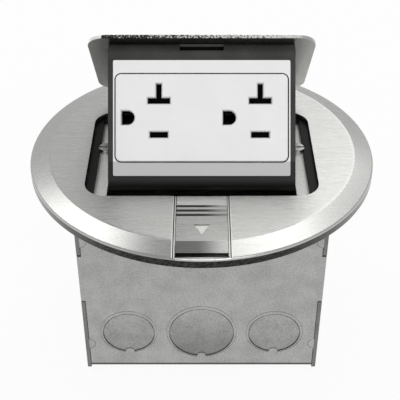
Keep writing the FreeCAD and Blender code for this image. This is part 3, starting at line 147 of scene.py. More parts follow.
class Tree:
    """The node tree of one material or world, built through a single method."""

    def __init__(self, owner: Any) -> None:
        """Empties the node tree of a new material or world.

        Args:
            owner: The material or world.
        """
        self.owner = owner
        owner.use_nodes = True
        self.nodes = owner.node_tree.nodes
        self.links = owner.node_tree.links
        self.nodes.clear()

    def node(
        self,
        kind: str,
        settings: dict[str, Any] | None = None,
        inputs: dict[Any, Any] | None = None,
        output: int | str = 0,
    ) -> Socket:
        """Adds a node, sets it up and links it.

        Args:
            kind: Blender's type name of the node.
            settings: Properties of the node, set before its sockets.
            inputs: Values or Sockets by input name or number.
            output: The output to return.

        Returns:
            The chosen output, or an empty Socket for an end node.
        """
        made = self.nodes.new(kind)
        for key, value in (settings or {}).items():
            setattr(made, key, value)
        for key, value in (inputs or {}).items():
            if isinstance(value, Socket):
                self.links.new(value.link, made.inputs[key])
            else:
                made.inputs[key].default_value = value
        if not made.outputs:
            return Socket(self, None)
        return Socket(self, made.outputs[output])

    def place(
        self,
        stretch: Triple = (1.0, 1.0, 1.0),
        turn: Triple = (0.0, 0.0, 0.0),
    ) -> Socket:
        """Object coordinates in millimetres, turned and then stretched.

        Args:
            stretch: Factor along X, Y and Z.
            turn: Turn about X, Y and Z in degrees.

        Returns:
            The coordinates.
        """
        where = self.node("ShaderNodeTexCoord", output="Object")
        angles = tuple(math.radians(angle) for angle in turn)
        inputs = {"Vector": where, "Rotation": angles}
        turned = self.node("ShaderNodeMapping", inputs=inputs)
        scale = tuple(factor / MM for factor in stretch)
        return self.node("ShaderNodeMapping", inputs={"Vector": turned, "Scale": scale})

    def axis(self, name: str) -> Socket:
        """One Object coordinate, X, Y or Z, in millimetres."""
        inputs = {"Vector": self.place()}
        return self.node("ShaderNodeSeparateXYZ", inputs=inputs, output=name)

    def radius(self) -> Socket:
        """Distance from the Z axis.

        Returns:
            The distance in millimetres.
        """
        settings = {"operation": "LENGTH"}
        inputs = {0: self.place((1.0, 1.0, 0.0))}
        return self.node("ShaderNodeVectorMath", settings, inputs, output="Value")

    def noise(
        self, where: Socket, scale: float, detail: float, rough: float = 0.5
    ) -> Socket:
        """Fractal noise between 0 and 1, with its scale in patches per millimetre."""
        inputs = {"Vector": where, "Scale": scale, "Detail": detail, "Roughness": rough}
        return self.node("ShaderNodeTexNoise", inputs=inputs)

    def blend(self, share: Any, first: Any, second: Any) -> Socket:
        """Mixes two colours.

        Args:
            share: Share of the second, from 0 to 1.
            first: Colour or Socket.
            second: Colour or Socket.

        Returns:
            The mixed colour.
        """
        settings = {"data_type": "RGBA"}
        inputs = {MIX_SHARE: share, MIX_FIRST: first, MIX_SECOND: second}
        return self.node("ShaderNodeMix", settings, inputs, output=MIX_RESULT)

    def bump(self, height: Socket, distance: float, strength: float) -> Socket:
        """Normal bent by a height between 0 and 1 of a distance in millimetres."""
        inputs = {"Height": height, "Distance": distance * MM, "Strength": strength}
        return self.node("ShaderNodeBump", inputs=inputs)

    def surface(self, inputs: dict[str, Any]) -> bpy.types.Material:
        """Ends the tree in a Principled shader.

        Args:
            inputs: Values or Sockets by input name.

        Returns:
            The finished material.
        """
        shader = self.node("ShaderNodeBsdfPrincipled", inputs=inputs)
        self.node("ShaderNodeOutputMaterial", inputs={"Surface": shader})
        return self.owner


def grey(level: float) -> tuple[float, float, float, float]:
    """Neutral colour of one level."""
    return (level, level, level, 1.0)


def steel(level: float) -> tuple[float, float, float, float]:
    """Grey of one level with the faint warm cast of the metal."""
    return (*(level * factor for factor in STEEL_CAST), 1.0)


@dataclass(frozen=True)
class Lean:
    """Coordinates of a plane of the lid unit that leans back about the hinge."""

    degrees: float
    hinge_y: float = 37.0
    hinge_z: float = -8.85

    def back(self, y: Any, z: Any) -> Any:
        """Leaning Y of a place.

        Args:
            y: Y of the place in millimetres, a Socket or a number.
            z: Z of the place, given in the same way.

        Returns:
            The distance in millimetres, a Socket or a number as given.
        """
        angle = math.radians(self.degrees)
        level = (y - self.hinge_y) * math.cos(angle)
        return level - (z - self.hinge_z) * math.sin(angle)

    def up(self, y: Any, z: Any) -> Any:
        """Leaning Z of a place.

        Args:
            y: Y of the place in millimetres, a Socket or a number.
            z: Z of the place, given in the same way.

        Returns:
            The distance in millimetres, a Socket or a number as given.
        """
        angle = math.radians(self.degrees)
        level = (y - self.hinge_y) * math.sin(angle)
        return level + (z - self.hinge_z) * math.cos(angle)


LID_LEAN = Lean(50.0)
FACE_LEAN = Lean(36.67)


@dataclass(frozen=True)
class BrushedSteel:
    """Sheet steel with fine brush lines along X."""

    name: str
    dark: float
    light: float
    roughness: float
    relief: float = 0.012
    relief_share: float = 0.6
    wide_lines: Triple = (0.03, 1.5, 1.5)
    fine_lines: Triple = (0.05, 5.0, 5.0)
    fine_share: float = 0.6
    scratch_lines: Triple = (0.05, 9.0, 9.0)
    line_share: float = 0.6
    line_wear: float = 0.1
    cloud_wear: float = 0.05

    def lines(self, tree: Tree) -> Socket:
        """Brush lines of two widths.

        Args:
            tree: The material's tree.

        Returns:
            The lines, between 0 and 1.
        """
        wide = tree.noise(tree.place(self.wide_lines), scale=1.0, detail=3.0, rough=0.6)
        fine = tree.noise(tree.place(self.fine_lines), scale=1.2, detail=3.0, rough=0.7)
        mixed = wide * (1.0 - self.fine_share) + fine * self.fine_share
        return mixed.above(*CONTRAST)

    def scratches(self, tree: Tree) -> Socket:
        """Finest scratches, which stretch reflections across the lines."""
        where = tree.place(self.scratch_lines)
        return tree.noise(where, scale=1.2, detail=2.0, rough=0.7)

    def paint(self, tree: Tree, tone: Socket) -> Socket:
        """Colours the sheet, where tone is the share of the lighter level."""
        return tree.blend(tone, steel(self.dark), steel(self.light))

    def build(self) -> bpy.types.Material:
        """Makes the material.

        Returns:
            The material.
        """
        tree = Tree(bpy.data.materials.new(self.name))
        lines = self.lines(tree)
        cloud = tree.noise(tree.place(), scale=0.03, detail=2.0)
        tone = lines * self.line_share + cloud * (1.0 - self.line_share)
        wear_and_shade = lines * self.line_wear + cloud * self.cloud_wear
        scratches = self.scratches(tree)
        return tree.surface(
            {
                "Base Color": self.paint(tree, tone),
                "Metallic": 1.0,
                "Roughness": self.roughness + wear_and_shade,
                "Normal": tree.bump(scratches, self.relief, self.relief_share),
            }
        )


@dataclass(frozen=True)
class RailSteel(BrushedSteel):
    """Bright steel of the latch's rails, with a line of painted shade along each."""

    # A line of painted shade along each rail's inner edge beside the slider.
    line_inside: float = 10.12
    line_outside: float = 10.5
    line_fade: float = 1.0  # in square millimetres
    shade_line_level: float = 0.02

    def paint(self, tree: Tree, tone: Socket) -> Socket:
        """Colours the rails and their lines of painted shade.

        Args:
            tree: The material's tree.
            tone: Share of the lighter level.

        Returns:
            The colour.
        """
        across = tree.axis("X")
        start, end = self.line_inside**2 - self.line_fade, self.line_outside**2
        shade_line = (across * across).between(start, end, self.line_fade)
        return tree.blend(shade_line, super().paint(tree, tone), steel(self.shade_line_level))


@dataclass(frozen=True)
class CoverSteel(BrushedSteel):
    """Brushed steel of the cover, with painted shade on the bevel beside the latch and
    a rim in painted shade with painted lighter sides.
    """

    bevel_radius: float = 62.0
    bevel_fade: float = 1.0
    bevel_scratches: float = 0.03
    bevel_scratch_fade: float = 0.8
    # Painted shade on the bevel on both sides of the latch, heavier on the left.
    painted_shade_level: float = 0.15
    painted_shade_left: float = 0.5
    painted_shade_right: float = 0.15
    painted_shade_start: Pair = (9.0, 10.0)
    painted_shade_end: Pair = (12.0, 40.0)
    painted_shade_back: Pair = (-50.0, -40.0)
    # The rim's dark levels are painted shade, and its lighter sides are painted light.
    rim_shade_dark: float = 0.008
    rim_shade_light: float = 0.062
    rim_streaks: Triple = (0.5, 0.5, 3.2)
    rim_streak_turn: Triple = (0.0, 24.0, 0.0)
    rim_contrast: Pair = (0.36, 0.66)
    rim_side_painted_light: float = 0.26
    rim_side_painted_light_share: float = 0.85
    rim_side_painted_light_squares: Pair = (600.0, 4200.0)  # squares of X
    rim_height: float = 3.75
    rim_radius: float = 68.5
    rim_fade: float = 0.3

    def scratches(self, tree: Tree) -> Socket:
        """Scratches that are deep on the flat top and faint on the bevel.

        Args:
            tree: The material's tree.

        Returns:
            The scratches, which are 0 at their middle level.
        """
        start = self.bevel_radius - self.bevel_scratch_fade
        flat = tree.radius().below(start, self.bevel_radius)
        share = flat * (1.0 - self.bevel_scratches) + self.bevel_scratches
        return (super().scratches(tree) - 0.5) * share

    def painted_shade(self, tree: Tree, sheet: Socket) -> Socket:
        """Paints shade on the bevel on both sides of the latch.

        Args:
            tree: The material's tree.
            sheet: Colour of the sheet.

        Returns:
            The colour.
        """
        start = self.bevel_radius - self.bevel_fade
        bevel = tree.radius().above(start, self.bevel_radius + self.bevel_fade)
        bevel = bevel * tree.axis("Y").below(*self.painted_shade_back)
        for side, wear_and_shade in ((-1.0, self.painted_shade_left), (1.0, self.painted_shade_right)):
            away = tree.axis("X") * side
            patch = away.above(*self.painted_shade_start) * away.below(*self.painted_shade_end)
            sheet = tree.blend(bevel * patch * wear_and_shade, sheet, steel(self.painted_shade_level))
        return sheet

    def rim_painted_shade(self, tree: Tree) -> Socket:
        """Colours the turned rim in painted shade, with slanting streaks and painted
        lighter sides.

        Args:
            tree: The material's tree.

        Returns:
            The colour.
        """
        where = tree.place(self.rim_streaks, self.rim_streak_turn)
        streaks = tree.noise(where, scale=1.1, detail=3.0, rough=0.7)
        streaks = streaks.above(*self.rim_contrast)
        middle = tree.blend(streaks, steel(self.rim_shade_dark), steel(self.rim_shade_light))
        across = tree.axis("X")
        painted_light_sides = (across * across).above(*self.rim_side_painted_light_squares)
        return tree.blend(painted_light_sides * self.rim_side_painted_light_share, middle, steel(self.rim_side_painted_light))

    def paint(self, tree: Tree, tone: Socket) -> Socket:
        """Colours the sheet, its patches of painted shade and its turned rim.

        Args:
            tree: The material's tree.
            tone: Share of the lighter level.

        Returns:
            The colour.
        """
        sheet = self.painted_shade(tree, super().paint(tree, tone))
        start = self.rim_height - self.rim_fade
        low = tree.axis("Z").below(start, self.rim_height + self.rim_fade)
        outer = tree.radius().above(self.rim_radius - self.rim_fade, self.rim_radius)
        return tree.blend(low * outer, sheet, self.rim_painted_shade(tree))


@dataclass(frozen=True)
class LidSteel(BrushedSteel):
    """Brushed steel of the lid, with an underside painted lighter to the right, a front
    edge speckled dark and light and painted lighter to the right, and a painted
    highlight on its left corner.
    """

    lean: Lean = LID_LEAN
    half: float = 45.0
    under: float = 13.9
    under_fade: float = 0.1
    under_shaded_left: float = 0.24
    under_lit_right: float = 0.64
    under_painted_light_slope: float = 0.8
    under_shift: float = 0.1
    scuff_share: float = 0.4
    scuff_grain: Triple = (0.9, 0.9, 0.9)
    scuff_turn: Triple = (0.0, 35.0, 0.0)
    edge: float = -70.3
    edge_fade: float = 0.05
    edge_dark: float = 0.03
    edge_light: float = 0.8
    edge_painted_light_slope: float = 0.34
    edge_contrast: Pair = (0.4, 0.6)
    corner_highlight_level: float = 1.0
    corner_highlight_side: Pair = (-37.0, -36.6)
    corner_highlight_back: Pair = (-62.5, -61.5)
    corner_highlight_top: Pair = (15.29, 15.33)

    def paint(self, tree: Tree, tone: Socket) -> Socket:
        """Colours the top, the underside and the front edge with painted light, and its
        left corner with a painted highlight.

        Args:
            tree: The material's tree.
            tone: Share of the lighter level.

        Returns:
            The colour.
        """
        sheet = super().paint(tree, tone)
        across, y, z = (tree.axis(name) for name in "XYZ")
        back, up = self.lean.back(y, z), self.lean.up(y, z)
        rightward = across * (0.5 / self.half) + 0.5
        top = up.above(self.under, self.under + self.under_fade)

        # The underside is painted lighter towards the right, as painted light, with
        # scuffs mixed in.
        where = tree.place(self.scuff_grain, self.scuff_turn)
        scuffs = tree.noise(where, scale=0.5, detail=4.0, rough=0.7)
        share = rightward * self.under_painted_light_slope + scuffs * self.scuff_share
        share = share - self.under_shift
        under = tree.blend(share, steel(self.under_shaded_left), steel(self.under_lit_right))
        sheet = tree.blend(1.0 - top, sheet, under)

        # The front edge is speckled dark and light and painted lighter towards the
        # right, as painted light.
        edge_speckle = tree.noise(tree.place(), scale=1.5, detail=2.0, rough=0.6)
        edge_speckle = edge_speckle + rightward * self.edge_painted_light_slope - self.edge_painted_light_slope / 2
        edge_speckle = edge_speckle.above(*self.edge_contrast)
        speckled_edge = tree.blend(edge_speckle, steel(self.edge_dark), steel(self.edge_light))
        front = back.below(self.edge - self.edge_fade, self.edge)
        sheet = tree.blend(front, sheet, speckled_edge)

        # A painted highlight on the lid's left front corner.
        painted_highlight = across.below(*self.corner_highlight_side) * back.below(*self.corner_highlight_back)
        painted_highlight = painted_highlight * top * up.below(*self.corner_highlight_top)
        return tree.blend(painted_highlight * (1.0 - front), sheet, steel(self.corner_highlight_level))


@dataclass(frozen=True)
class LatchSteel(BrushedSteel):
    """Brushed steel of the latch, with a bright arrow, painted shade on the slope and
    in the grooves, and a painted shadow at the arrow's rear edge.
    """

    slope: Pair = (-61.5, -61.2)
    slope_painted_shade_level: float = 0.15
    slope_right: Pair = (-2.0, 9.0)
    slope_shade_cleared: float = 0.95
    rear: Pair = (-44.0, -38.0)
    rear_level: float = 0.9
    rear_share: float = 0.6
    groove: Pair = (6.1, 6.28)
    groove_front: Pair = (-47.5, -47.4)
    groove_painted_shade_level: float = 0.05
    groove_right: Pair = (0.0, 9.5)
    groove_shade_cleared: float = 0.6
    arrow_half: float = 3.2
    arrow_rear: float = -51.5
    arrow_front: float = -58.2
    arrow_fade: float = 0.01
    arrow_floor: Pair = (6.06, 6.1)
    arrow_level: float = 0.74
    arrow_painted_shadow: Pair = (-52.25, -52.15)
    arrow_painted_shadow_level: float = 0.05

    def paint(self, tree: Tree, tone: Socket) -> Socket:
        """Colours the sheet, the slope and the grooves in painted shade, the rear end,
        and the arrow with its painted shadow.

        Args:
            tree: The material's tree.
            tone: Share of the lighter level.

        Returns:
            The colour.
        """
        sheet = super().paint(tree, tone)
        across, along, up = (tree.axis(name) for name in "XYZ")

        # Painted shade on the slope, cleared towards the right.
        slope = along.below(*self.slope)
        slope = slope * (1.0 - across.above(*self.slope_right) * self.slope_shade_cleared)
        sheet = tree.blend(slope, sheet, steel(self.slope_painted_shade_level))
        rear = along.above(*self.rear) * self.rear_share
        sheet = tree.blend(rear, sheet, steel(self.rear_level))

        # Painted shade in the grooves, cleared towards the right.
        groove = up.below(*self.groove) * along.above(*self.groove_front)
        groove = groove * (1.0 - across.above(*self.groove_right) * self.groove_shade_cleared)
        sheet = tree.blend(groove, sheet, steel(self.groove_painted_shade_level))

        arrow = across.between(-self.arrow_half, self.arrow_half, self.arrow_fade)
        length = along.between(self.arrow_front, self.arrow_rear, self.arrow_fade)
        arrow = arrow * length * up.below(*self.arrow_floor)
        sheet = tree.blend(arrow, sheet, steel(self.arrow_level))
        # A painted shadow along the arrow's rear edge.
        shade = arrow * along.above(*self.arrow_painted_shadow)
        return tree.blend(shade, sheet, steel(self.arrow_painted_shadow_level))


@dataclass(frozen=True)
class ZincSteel:
    """Sheet steel with a finely mottled zinc coat, with painted shadow along its foot,
    painted shade in its discs and score lines, and darker strips at the front's sides.
    """

    name: str
    dark: float = 0.3
    light: float = 0.55
    roughness: float = 0.42
    tone_wear: float = 0.12
    metallic: float = 0.75
    relief: float = 0.04
    relief_share: float = 0.5
    grain_share: float = 0.65
    grain_relief: float = 0.7
    pits: Pair = (0.64, 0.76)
    pit_shade: float = 0.5
    pit_share: float = 0.45
    painted_shade_level: float = 0.03
    foot_top: float = -84.0
    foot_fade: float = 0.4
    foot_shadow_share: float = 0.88
    front: float = -35.0
    strip: float = 0.0
    strip_skin: Pair = (0.4, 0.6)
    strip_inside: float = 48.4
    strip_fade: float = 5.0  # in square millimetres
    score_shade: float = 0.03
    recess_shade: float = 0.4
    recess_start: Pair = (0.05, 0.2)
    recess_end: Pair = (0.5, 0.6)
    recess_low: Pair = (-78.0, -50.0)
    recess_half: float = 10.0
    recess_outside: float = 20.0
    recess_side_share: float = 0.5

    def painted_shade(self, tree: Tree) -> Socket:
        """Share of painted shadow on the foot, of painted shade in the discs and score
        lines, and of the darker side strips of the front.

        Args:
            tree: The material's tree.

        Returns:
            The share of the dark level.
        """
        across, y, up = (tree.axis(name) for name in "XYZ")
        square = across * across
        behind = y - self.front
        foot_shadow = up.below(self.foot_top - self.foot_fade, self.foot_top) * self.foot_shadow_share

        inside = self.strip_inside**2
        outer = square.above(inside - self.strip_fade, inside)
        strip = behind.below(*self.strip_skin) * outer * self.strip

        side = square.above(self.recess_half**2, self.recess_outside**2)
        middle = 1.0 - side * self.recess_side_share
        shade = up.below(*self.recess_low) * middle * self.recess_shade + self.score_shade
        sunk = behind.above(*self.recess_start) * behind.below(*self.recess_end)
        return 1.0 - (1.0 - foot_shadow) * (1.0 - strip) * (1.0 - sunk * shade)

    def build(self) -> bpy.types.Material:
        """Makes the material.

        Returns:
            The material.
        """
        tree = Tree(bpy.data.materials.new(self.name))
        where = tree.place()
        patches = tree.noise(where, scale=0.11, detail=4.0, rough=0.6)
        grains = tree.noise(where, scale=1.4, detail=3.0, rough=0.7)
        specks = tree.noise(where, scale=2.8, detail=2.0, rough=0.5)
        tone = patches.above(*CONTRAST) * (1.0 - self.grain_share)
        tone = tone + grains.above(*CONTRAST) * self.grain_share
        colour = tree.blend(tone, steel(self.dark), steel(self.light))
        pits = specks.above(*self.pits) * self.pit_share
        colour = tree.blend(pits, colour, steel(self.dark * self.pit_shade))
        # Mixes in the painted shadow, the painted shade and the darker strips.
        colour = tree.blend(self.painted_shade(tree), colour, steel(self.painted_shade_level))
        height = grains * self.grain_relief + patches * (1.0 - self.grain_relief)
        return tree.surface(
            {
                "Base Color": colour,
                "Metallic": self.metallic,
                "Roughness": self.roughness + tone * self.tone_wear,
                "Normal": tree.bump(height, self.relief, self.relief_share),
            }
        )


@dataclass(frozen=True)
class Moulding:
    """Moulded plastic or rubber with a faint skin texture."""

    name: str
    dark: float
    light: float
    roughness: float
    relief: float = 0.01
    relief_share: float = 0.4
    grain: float = 1.6
    skin_share: float = 0.3
    skin_wear: float = 0.1
    shine: float = 0.5
    cast: float = 1.0

    def level(self, value: float) -> tuple[float, float, float, float]:
        """Colour of one level with the moulding's faint cast."""
        return (value, value, value * self.cast, 1.0)

    def paint(self, tree: Tree, tone: Socket) -> Socket:
        """Colours the moulding, where tone is the share of the lighter level."""
        return tree.blend(tone, self.level(self.dark), self.level(self.light))

    def build(self) -> bpy.types.Material:
        """Makes the material.

        Returns:
            The material.
        """
        tree = Tree(bpy.data.materials.new(self.name))
        where = tree.place()
        skin = tree.noise(where, scale=self.grain, detail=4.0, rough=0.6)
        cloud = tree.noise(where, scale=0.07, detail=3.0)
        tone = cloud * (1.0 - self.skin_share) + skin * self.skin_share
        return tree.surface(
            {
                "Base Color": self.paint(tree, tone.above(*CONTRAST)),
                "Roughness": self.roughness + (skin - 0.5) * self.skin_wear,
                "Normal": tree.bump(skin, self.relief, self.relief_share),
                "Specular IOR Level": self.shine,
            }
        )


@dataclass(frozen=True)
class SlottedMoulding(Moulding):
    """White face whose eased slot edges are greyer with painted shade."""

    lean: Lean = FACE_LEAN
    edge_shade_depth: Pair = (-64.85, -64.7)
    edge_shade_level: float = 0.64

    def paint(self, tree: Tree, tone: Socket) -> Socket:
        """Colours the face and, with painted shade, what lies behind its front.

        Args:
            tree: The material's tree.
            tone: Share of the lighter level.

        Returns:
            The colour.
        """
        back = self.lean.back(tree.axis("Y"), tree.axis("Z"))
        # Painted shade on the slot edges and walls behind the front.
        edge = back.above(*self.edge_shade_depth)
        return tree.blend(edge, super().paint(tree, tone), self.level(self.edge_shade_level))


@dataclass(frozen=True)
class BandedMoulding(Moulding):
    """Moulding on the tilted face whose lower front border is a darker band of painted
    shade.
    """

    lean: Lean = FACE_LEAN
    shade_band_level: float = 0.5
    shade_band_top: Pair = (-17.5, -17.1)
    shade_band_depth: Pair = (-63.4, -60.9)

    def paint(self, tree: Tree, tone: Socket) -> Socket:
        """Colours the moulding and its lower border in painted shade.

        Args:
            tree: The material's tree.
            tone: Share of the lighter level.

        Returns:
            The colour.
        """
        y, z = tree.axis("Y"), tree.axis("Z")
        shade_band = self.lean.up(y, z).below(*self.shade_band_top)
        shade_band = shade_band * self.lean.back(y, z).below(*self.shade_band_depth)
        return tree.blend(shade_band, super().paint(tree, tone), self.level(self.shade_band_level))


@dataclass(frozen=True)
class TurnedMetal:
    """Small turned or drawn metal piece."""

    name: str
    colour: Triple
    roughness: float
    metallic: float = 1.0
    dulled: float = 0.72
    wear_share: float = 0.15
    relief: float = 0.01
    relief_share: float = 0.5

    def build(self) -> bpy.types.Material:
        """Makes the material.

        Returns:
            The material.
        """
        tree = Tree(bpy.data.materials.new(self.name))
        wear_and_shade = tree.noise(tree.place(), scale=0.9, detail=4.0, rough=0.6)
        full = (*self.colour, 1.0)
        dull = (*(part * self.dulled for part in self.colour), 1.0)
        return tree.surface(
            {
                "Base Color": tree.blend(wear_and_shade.above(*CONTRAST), dull, full),
                "Metallic": self.metallic,
                "Roughness": self.roughness + wear_and_shade * self.wear_share,
                "Normal": tree.bump(wear_and_shade, self.relief, self.relief_share),
            }
        )


class Finish(Enum):
    """Finishes of the part."""

    COVER = CoverSteel(
        "cover_brushed_steel", dark=0.54, light=0.62, roughness=0.2, relief=0.06
    )
    RAIL = RailSteel("rail_brushed_steel", dark=0.74, light=0.84, roughness=0.26)
    LID = LidSteel("lid_brushed_steel", dark=0.5, light=0.62, roughness=0.3)
    LATCH = LatchSteel("latch_brushed_steel", dark=0.41, light=0.5, roughness=0.2)
    ZINC = ZincSteel("zinc_coated_steel")
    ZINC_END = ZincSteel("zinc_coated_end", strip=0.55, foot_top=-86.0, score_shade=0.7)
    # The mounting plate's zinc is painted much lighter, as painted light in the shade
    # of the opening.
    SEAT = ZincSteel("zinc_seat_painted_light", dark=0.72, light=0.92, roughness=0.5)
    RUBBER = Moulding(
        "black_rubber", dark=0.003, light=0.006, roughness=0.5, relief=0.02, shine=0.2
    )
    # The carrier's lower band below the plate is near-black painted shade.
    CARRIER = BandedMoulding(
        "satin_black_moulding",
        dark=0.02,
        light=0.044,
        roughness=0.45,
        relief=0.012,
        shine=0.25,
        cast=0.9,
        shade_band_level=0.005,
    )
    # Black core and shutters, made darker than black plastic as painted shade inside
    # the slots.
    CORE = Moulding(
        "black_core_and_painted_shade", dark=0.002, light=0.004, roughness=0.8, shine=0.05
    )
    FACE = SlottedMoulding(
        "white_face_moulding", dark=0.82, light=0.86, roughness=0.32, relief=0.004
    )
    WHITE = BandedMoulding(
        "white_plate_moulding", dark=0.82, light=0.86, roughness=0.32, relief=0.004
    )
    SCREW = TurnedMetal("plated_screw", (0.62, 0.62, 0.61), roughness=0.25)
    PIN = TurnedMetal("plain_pin_steel", (0.42, 0.42, 0.43), roughness=0.35)
    BRASS = TurnedMetal("contact_brass", (0.72, 0.5, 0.2), roughness=0.3)
    # Near-black brass for the contacts inside the slots, as painted shade.
    TARNISHED = TurnedMetal("brass_in_painted_shade", (0.012, 0.01, 0.007), roughness=0.5)
    GREEN = TurnedMetal(
        "green_earth_screw", (0.03, 0.3, 0.08), roughness=0.35, metallic=0.6
    )

    def material(self) -> bpy.types.Material:
        """Returns the finish's material, made at its first use."""
        made = bpy.data.materials.get(self.value.name)
        return made or self.value.build()


@dataclass
class SubAssembly:
    """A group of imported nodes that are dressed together."""

    frame: dict[str, Any]

    def dress(self, finish: Finish, *names: str) -> None:
        """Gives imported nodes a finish.

        Args:
            finish: The finish.
            *names: Names of the nodes.
        """
        for name in names:
            piece = self.frame["nodes"][name]
            if not piece.material_slots:
                piece.data.materials.append(finish.material())
            for place in piece.material_slots:
                place.material = finish.material()
            log.info("%s: %s", name, finish.value.name)


@dataclass
class Reworked(SubAssembly):
    """A piece whose mesh is a merged copy of a packed one."""

    seam: float = 0.001
    crease: float = 30.0

    def copied(self, node: str, name: str) -> bpy.types.Object:
        """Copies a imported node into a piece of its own.

        Args:
            node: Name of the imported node.
            name: Name of the new piece.

        Returns:
            The new piece.
        """
        mesh = self.frame["nodes"][node].data.copy()
        work = bmesh.new()
        work.from_mesh(mesh)
        bmesh.ops.remove_doubles(work, verts=work.verts[:], dist=self.seam * MM)
        self.shape(work)
        bmesh.ops.recalc_face_normals(work, faces=work.faces[:])
        work.to_mesh(mesh)
        work.free()
        if "custom_normal" in mesh.attributes:
            mesh.attributes.remove(mesh.attributes["custom_normal"])
        mesh.shade_smooth()
        mesh.set_sharp_from_angle(angle=math.radians(self.crease))
        piece = bpy.data.objects.new(name, mesh)
        bpy.context.collection.objects.link(piece)
        return piece

    def shape(self, work: bmesh.types.BMesh) -> None:
        """Changes the merged mesh; a plain copy keeps it."""

    def take(
        self, piece: bpy.types.Object, finish: Finish, node: str, slot: str
    ) -> None:
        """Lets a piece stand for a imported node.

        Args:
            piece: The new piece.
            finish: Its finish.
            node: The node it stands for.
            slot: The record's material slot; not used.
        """
        piece.data.materials.clear()
        piece.data.materials.append(finish.material())
        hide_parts(node)
        log.info("%s: %s", piece.name, finish.value.name)


@dataclass
class ReceptacleFace(Reworked):
    """White face with straight sides to its earth holes."""

    lean: Lean = FACE_LEAN
    hole_centres: Pair = (-28.42, 10.42)
    hole_up: float = -0.55
    hole_radius: float = 2.7
    hole_flat: float = 2.3
    bevel: float = 0.45
    bevel_end: float = -64.45
    margin: float = 0.1

    def shape(self, work: bmesh.types.BMesh) -> None:
        """Draws the points that pass a hole's straight side back to it.

        Args:
            work: The merged mesh of the face.
        """
        reach = self.hole_radius + self.bevel + self.margin
        for vertex in work.verts:
            across, y, z = (part / MM for part in vertex.co)
            slant = self.bevel_end - self.lean.back(y, z)
            slant = min(max(slant, 0.0), self.bevel)
            level = abs(self.lean.up(y, z) - self.hole_up) < self.hole_radius
            for centre in self.hole_centres:
                side = centre - self.hole_flat - slant
                if level and centre - reach < across < side:
                    vertex.co.x = side * MM

    def build(self) -> None:
        """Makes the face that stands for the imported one."""
        piece = self.copied("receptacle_face", "receptacle_face_trued")
        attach(piece, "lid_unit")
        self.take(piece, Finish.FACE, "receptacle_face", "plate_white")


@dataclass
class Cover(SubAssembly):
    """Round cover, its latch and the pieces that seal and hold them."""

    def build(self) -> None:
        """Dresses the cover group."""
        self.dress(Finish.COVER, "cover_flange")
        self.dress(Finish.LATCH, "latch_slider")
        self.dress(Finish.RAIL, "latch_rails")
        self.dress(Finish.RUBBER, "floor_gasket", "lid_gasket")
        self.dress(Finish.SEAT, "mounting_plate")
        self.dress(Finish.SCREW, "cover_screws", "flange_screws")


@dataclass
class LatchSpring(Reworked):
    """Coil between its post and the latch."""

    post: Triple = (0.0, -56.57, 3.8)
    free_length: float = 9.5
    travel: float = 2.0

    def build(self) -> None:
        """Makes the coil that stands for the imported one."""
        coil = self.copied("latch_spring", "latch_spring_coil")
        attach(coil, "base")
        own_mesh(coil)
        self.take(coil, Finish.PIN, "latch_spring", "pin_steel")


@dataclass
class SteelBox(SubAssembly):
    """Folded steel box with its hinge hardware."""

    def build(self) -> None:
        """Dresses the box group."""
        self.dress(Finish.ZINC, "box_body")
        self.dress(Finish.ZINC_END, "box_end_left", "box_end_right")
        self.dress(Finish.ZINC, "hinge_bracket_left", "hinge_bracket_right")
        self.dress(Finish.PIN, "hinge_pin", "pin_clips", "torsion_springs")
        self.dress(Finish.GREEN, "earth_screw")


@dataclass
class LidUnit(SubAssembly):
    """Lid with the carrier and the receptacle in it."""

    def build(self) -> None:
        """Dresses the lid group."""
        self.dress(Finish.LID, "lid")
        self.dress(Finish.CARRIER, "carrier", "wiring_cover")
        self.dress(Finish.WHITE, "face_plate")
        self.dress(Finish.CORE, "receptacle_body", "shutter_left", "shutter_right")
        self.dress(
            Finish.TARNISHED, "neutral_contacts", "hot_contacts", "earth_contacts"
        )
        self.dress(Finish.BRASS, "brass_terminals")
        self.dress(Finish.SCREW, "silver_terminals", "strap_screws", "lid_screws")
        self.dress(Finish.ZINC, "receptacle_strap")


@dataclass(frozen=True)
class Panel:
    """Soft rectangular lamp; its glow is how bright it looks, where 1 is white."""

    name: str
    place: Triple
    width: float
    height: float
    glow: float

    def build(self, target: Vector) -> None:
        """Adds the lamp.

        Args:
            target: The place that it points at, in metres.
        """
        data = bpy.data.lights.new(self.name, "AREA")
        data.shape = "RECTANGLE"
        data.size = self.width * MM
        data.size_y = self.height * MM
        data.energy = self.glow * math.pi * data.size * data.size_y
        lamp = bpy.data.objects.new(self.name, data)
        lamp.location = Vector(self.place) * MM
        aim = target - lamp.location
        lamp.rotation_euler = aim.to_track_quat("-Z", "Y").to_euler()
        bpy.context.collection.objects.link(lamp)


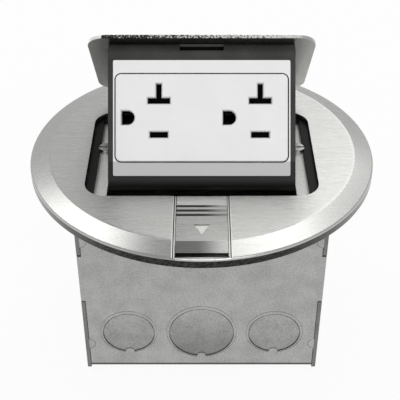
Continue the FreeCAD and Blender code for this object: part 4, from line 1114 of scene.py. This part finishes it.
@dataclass
class Studio:
    """Floor, world, lamps and camera."""

    floor_height: float = -87.3
    floor_half: float = 4000.0
    floor_colour: float = 0.9
    floor_glow_share: float = 0.92
    sky: float = 0.6
    target: Triple = (0.0, 0.0, -20.0)
    panels: tuple[Panel, ...] = (
        Panel("front_panel", (200.0, -1100.0, 900.0), 900.0, 700.0, glow=2.5),
        Panel("right_back_panel", (320.0, 900.0, 910.0), 640.0, 760.0, glow=1.2),
        Panel("right_top_panel", (235.0, 410.0, 1010.0), 330.0, 400.0, glow=1.78),
        Panel("left_top_panel", (-600.0, 430.0, 950.0), 520.0, 600.0, glow=1.95),
    )
    camera_place: Triple = (-0.66, -316.6, 214.5)
    camera_tilt: float = 53.33
    lens: float = 82.9
    sensor: float = 36.0

    def build(self) -> None:
        """Builds the whole studio."""
        self.add_floor()
        self.add_world()
        for panel in self.panels:
            panel.build(Vector(self.target) * MM)
        self.add_camera()
        bpy.context.scene.view_settings.view_transform = "Standard"

    def add_floor(self) -> None:
        """Adds the pale floor under the feet, which shows as plain white."""
        bpy.ops.mesh.primitive_plane_add(size=2 * self.floor_half * MM)
        floor = bpy.context.object
        floor.name = "studio_floor"
        floor.location = (0.0, 0.0, self.floor_height * MM)
        tree = Tree(bpy.data.materials.new("pale_floor"))
        camera = tree.node("ShaderNodeLightPath", output="Is Camera Ray")
        gloss = tree.node("ShaderNodeLightPath", output="Is Glossy Ray")
        clear = tree.node("ShaderNodeLightPath", output="Is Transmission Ray")
        seen = (camera + gloss + clear).above(0.0, 1.0) * self.floor_glow_share
        colour = grey(self.floor_colour)
        matte = tree.node("ShaderNodeBsdfDiffuse", inputs={"Color": colour})
        glow = tree.node("ShaderNodeEmission", inputs={"Color": grey(1.0)})
        mixed = tree.node("ShaderNodeMixShader", inputs={0: seen, 1: matte, 2: glow})
        tree.node("ShaderNodeOutputMaterial", inputs={"Surface": mixed})
        floor.data.materials.append(tree.owner)

    def add_world(self) -> None:
        """Makes a plain pale world."""
        world = bpy.data.worlds.new("studio_world")
        bpy.context.scene.world = world
        tree = Tree(world)
        sky = tree.node("ShaderNodeBackground", inputs={"Color": grey(self.sky)})
        tree.node("ShaderNodeOutputWorld", inputs={"Surface": sky})

    def add_camera(self) -> None:
        """Adds the camera at the photograph's angle."""
        data = bpy.data.cameras.new("photo_camera")
        data.lens = self.lens
        data.sensor_width = self.sensor
        camera = bpy.data.objects.new("photo_camera", data)
        camera.location = Vector(self.camera_place) * MM
        camera.rotation_euler = (math.radians(self.camera_tilt), 0.0, 0.0)
        bpy.context.collection.objects.link(camera)
        bpy.context.scene.camera = camera


def main() -> None:
    """Dresses the groups of the part and builds the studio."""
    logging.basicConfig(level=logging.INFO, format="%(message)s")
    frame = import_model()
    groups = (
        Cover(frame),
        LatchSpring(frame),
        SteelBox(frame),
        LidUnit(frame),
        ReceptacleFace(frame),
    )
    for group in groups:
        group.build()
        log.info("%s done", type(group).__name__)
    Studio().build()
    log.info("Studio done")


if __name__ == "__main__":
    main()
